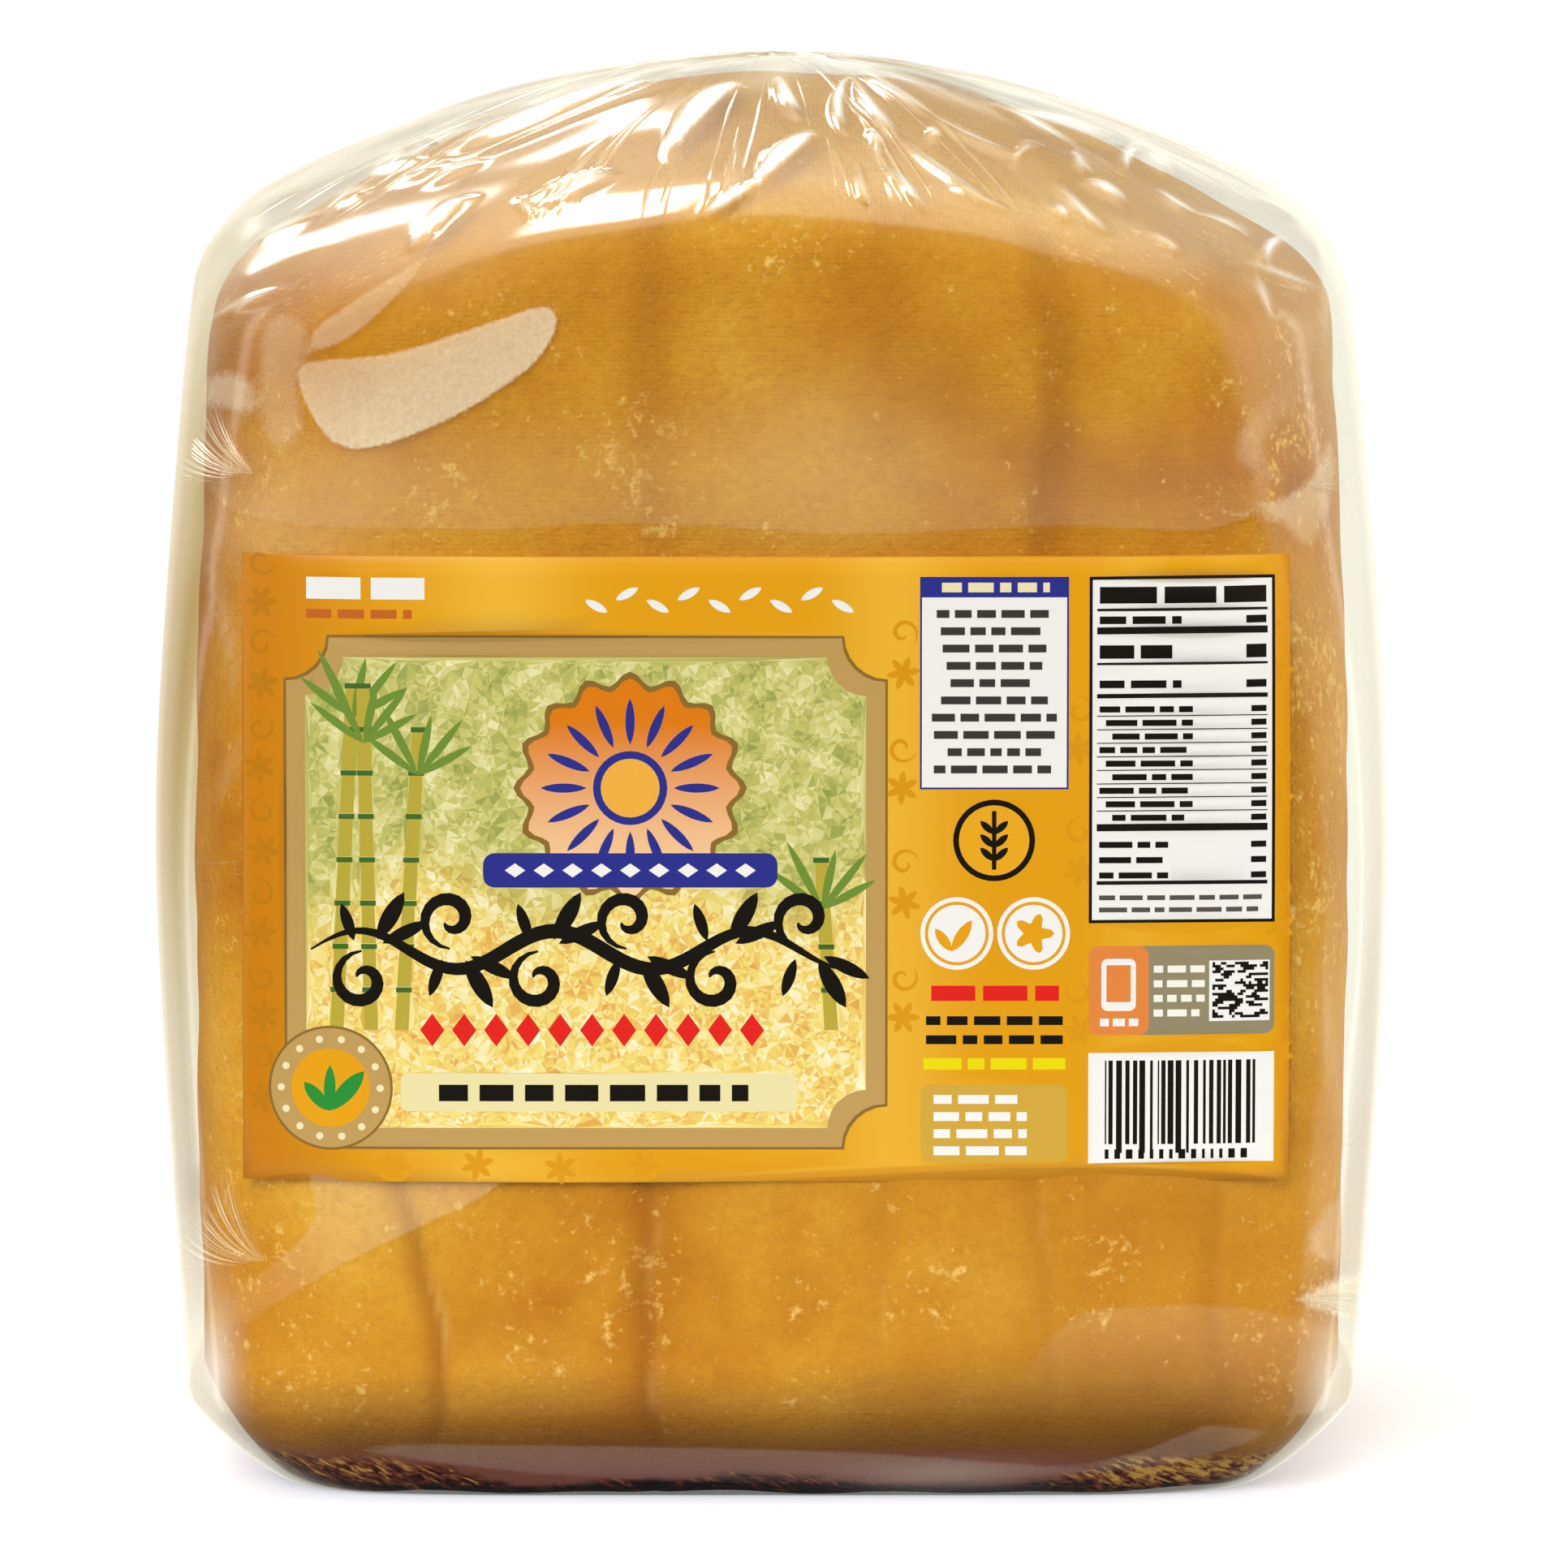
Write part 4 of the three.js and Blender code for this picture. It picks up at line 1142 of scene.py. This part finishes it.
def make_jaggery():
    """The moulded block inside the wrap, standing a little clear of it."""
    grid = loaf_grid(JAGGERY, *profile_rows(JAGGERY, JAGGERY_ROWS), column_angles(*JAGGERY_COLUMNS))
    normal = grid_normals(grid)
    x, y, z = grid[..., 0], grid[..., 1], grid[..., 2]
    dark, lip = furrow_marks(x, z)
    flat_sides = smooth((np.abs(y) / JAGGERY.half_depth - 0.8) / 0.1)
    lumps = 0.12 * np.sin(x / 4.1 + z / 9.7) * np.sin(z / 5.3 - x / 12.0 + y / 7.0)
    lumps += 0.10 * np.sin(x / 1.9 + 2 * np.sin(z / 7.0)) * np.sin(z / 2.3 + y / 3.1)
    relief = lumps - LUMP_HEIGHT - cloth_furrows(grid, JAGGERY) - 0.15 * dark * flat_sides
    grid = grid + normal * relief[..., None] + np.array([0, MIDDLE_Y, JAGGERY.lift])
    points, faces = closed_skin(grid)
    block = add_mesh("jaggery_block", points, faces, jaggery_material())
    u, v = seen(grid)
    front = facing(grid)
    ends = smooth((np.abs(x) - 18) / 14)
    right = np.sign(x)
    edge = 1.1 + 1.3 * ends + 0.5 * np.cos((x + 1.6) / 5) + 0.2 * np.sin(x / 2.1 + 1) + 0.2 * np.sin(y / 3)
    # Painted shade browns the block up from its foot, less towards the corners.
    browner = 0.92 * (1 - 0.45 * smooth((np.abs(x) - 33) / 9))
    set_attributes(
        block, loose=bell_sum(u, v, LOOSE_SUGAR) * front,
        tone=bell_sum(u, v, TONE_MARKS) * front + 0.32 * smooth((z - 97) / 6),
        # Near-black maroon along the foot: the underside's own colour with painted shade where it turns
        # under.
        burnt=1 - smooth((z - edge) / 0.3),
        # A mauve band just above it: a painted reflection of the film.
        bloom=(0.9 - ends * (0.4 + 0.2 * right)) * (1 - smooth((z - 2.9) / 1.5)),
        crust=browner * (1 - smooth((z - 3.6) / (8.0 + 3.0 * smooth(x / 20)))),
        golden=ends * (0.75 + 0.25 * right) - 0.9 * (1 - smooth((z - 0.2) / 1.2)),
        # Painted shade in the furrows, and a painted highlight along their lips.
        furrow=0.62 * dark * flat_sides, lip=0.55 * lip * flat_sides,
    )
    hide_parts("wrapped_block")


# ---------------------------------------------------------------- studio

FLOOR_REACH = 500.0
FLOOR_LEVEL = -0.05


def make_floor():
    """A pale matt floor that fades into the bright surroundings away from the pack."""
    material, node = new_material("pale_matt_floor")
    place = node("TexCoord", output="Object")
    away = node("VectorMath", (place,), "Value", operation="LENGTH")
    fade = node("MapRange", (away, 0.08, 0.17, 0.0, 1.0), interpolation_type="SMOOTHSTEP")
    matt = node("BsdfPrincipled", {"Base Color": "#F2F6FF", "Roughness": 0.8,
                                   "Emission Color": "#F0F5FF", "Emission Strength": 0.38})
    node("OutputMaterial", {"Surface": node("MixShader", (fade, matt, node("BsdfTransparent")))})
    corners = [(x, y, FLOOR_LEVEL) for x, y in FLOOR_REACH * box_loop(-1, -1, 1, 1)]
    floor = add_mesh("floor", corners, [(0, 1, 2, 3)], material, body=None)
    floor.visible_glossy = False


def make_world():
    """White to the eye. In what mirrors it: a bright ceiling, a plain back, a dark wall to the left,
    dark below, and a dim side where the camera stands. It lights matt things evenly."""
    world = bpy.data.worlds.new("studio")
    bpy.context.scene.world = world
    world.use_nodes = True
    world.node_tree.nodes.clear()
    node = partial(add_node, world.node_tree)
    aim = node("TexCoord", output="Generated")
    x, y, z = node("SeparateXYZ", (aim,)).node.outputs
    frontal = node("VectorMath", (aim, (0.0, -1.0, -0.1)), "Value", operation="DOT_PRODUCT")
    # Each goes smoothly between two levels: along what, from where, to where, and the levels.
    walls, overhead, below, wall, open_side, backdrop = [
        node("MapRange", step, interpolation_type="SMOOTHSTEP") for step in (
            (z, 0.25, 0.45, 0.92, 0.62), (z, 0.60, 0.97, 0.0, 1.48), (z, -0.8, -0.45, 0.03, 1.0),
            (x, -0.95, -0.55, 0.15, 1.0), (frontal, 0.36, 0.46, 1.0, 0.12), (y, 0.86, 0.97, 0.0, 0.35))]
    ceiling = node("Math", (walls, overhead), operation="ADD")
    walled = node("Math", (ceiling, wall), **PRODUCT)
    sides = node("Math", (walled, open_side), **PRODUCT)
    round_about = node("Math", (sides, backdrop), operation="ADD")
    mirrored = node("Math", (round_about, below), **PRODUCT)
    even = node("Math", (open_side, 0.82), **PRODUCT)
    glossy, to_camera = [node("LightPath", output=f"Is {ray} Ray") for ray in ("Glossy", "Camera")]
    glow = node("Mix", {0: glossy, 2: even, 3: mirrored}, data_type="FLOAT")
    shade = node("Mix", {0: glossy, 6: "#FFF3DC", 7: "#FFFAEC"}, **OVERLAY)
    room = node("Background", {"Color": shade, "Strength": glow})
    white = node("Background", {"Color": "#FFFFFF", "Strength": 1.0})
    node("OutputWorld", {"Surface": node("MixShader", (to_camera, room, white))})


# Rectangular lights that face the middle of the pack: where from, how far off, width, height,
# radiance, and whether they show only in reflections or only light things.
LIGHTS = {
    "key_front": ((-0.3, -0.9, 0.42), 1.4, 0.9, 0.9, 8.1, False),
    "fill_right": ((0.95, -0.25, 0.12), 1.4, 0.7, 0.9, 5.5, False),
    "fill_left": ((-0.97, -0.15, 0.10), 1.4, 0.6, 0.9, 1.7, False),
    "window_back": ((-0.14, 0.77, 0.63), 1.1, 0.17, 0.15, 11.0, True),
    "window_left": ((-0.42, 0.68, 0.60), 1.1, 0.22, 0.40, 14.0, True),
    "window_top": ((-0.19, 0.04, 0.98), 0.9, 0.60, 0.15, 12.0, True),
    "strip_left": ((-0.97, 0.24, 0.0), 0.9, 0.12, 1.1, 1.1, True),
    "strip_right": ((0.96, 0.3, 0.0), 0.9, 0.10, 1.1, 1.1, True),
}


def make_lights():
    """The softboxes; the power of each is radiance * pi * area."""
    for name, (direction, distance, width, height, radiance, mirrored) in LIGHTS.items():
        data = bpy.data.lights.new(name, "AREA")
        data.shape = "RECTANGLE"
        data.size = width
        data.size_y = height
        data.energy = radiance * math.pi * width * height
        lamp = bpy.data.objects.new(name, data)
        bpy.context.scene.collection.objects.link(lamp)
        lamp.visible_glossy = mirrored
        lamp.visible_diffuse = not mirrored
        away = Vector(direction).normalized()
        lamp.location = Vector((0, 0, EYE_AIM * MM)) + away * distance
        lamp.rotation_euler = away.to_track_quat("Z", "Y").to_euler()


# The camera is aimed at a place just off the pack's middle, and frames the pack and a margin.
LENS = 208.2
SENSOR = 36.0
CAMERA_AIM = (1.0, 0.0, 53.5)


def make_camera():
    """The front view, from as far and as high as the eye that marks are placed for."""
    data = bpy.data.cameras.new("camera")
    data.lens = LENS
    data.sensor_width = SENSOR
    data.clip_start = 0.01
    camera = bpy.data.objects.new("camera", data)
    bpy.context.scene.collection.objects.link(camera)
    back = Vector((0, -math.cos(EYE_RISE), math.sin(EYE_RISE)))
    camera.location = (Vector(CAMERA_AIM) + back * EYE_DISTANCE) * MM
    camera.rotation_euler = back.to_track_quat("Z", "Y").to_euler()
    bpy.context.scene.camera = camera


make_camera()
make_world()
make_lights()
make_floor()
make_jaggery()
make_film()
make_label()
bpy.context.scene.view_settings.view_transform = "Standard"
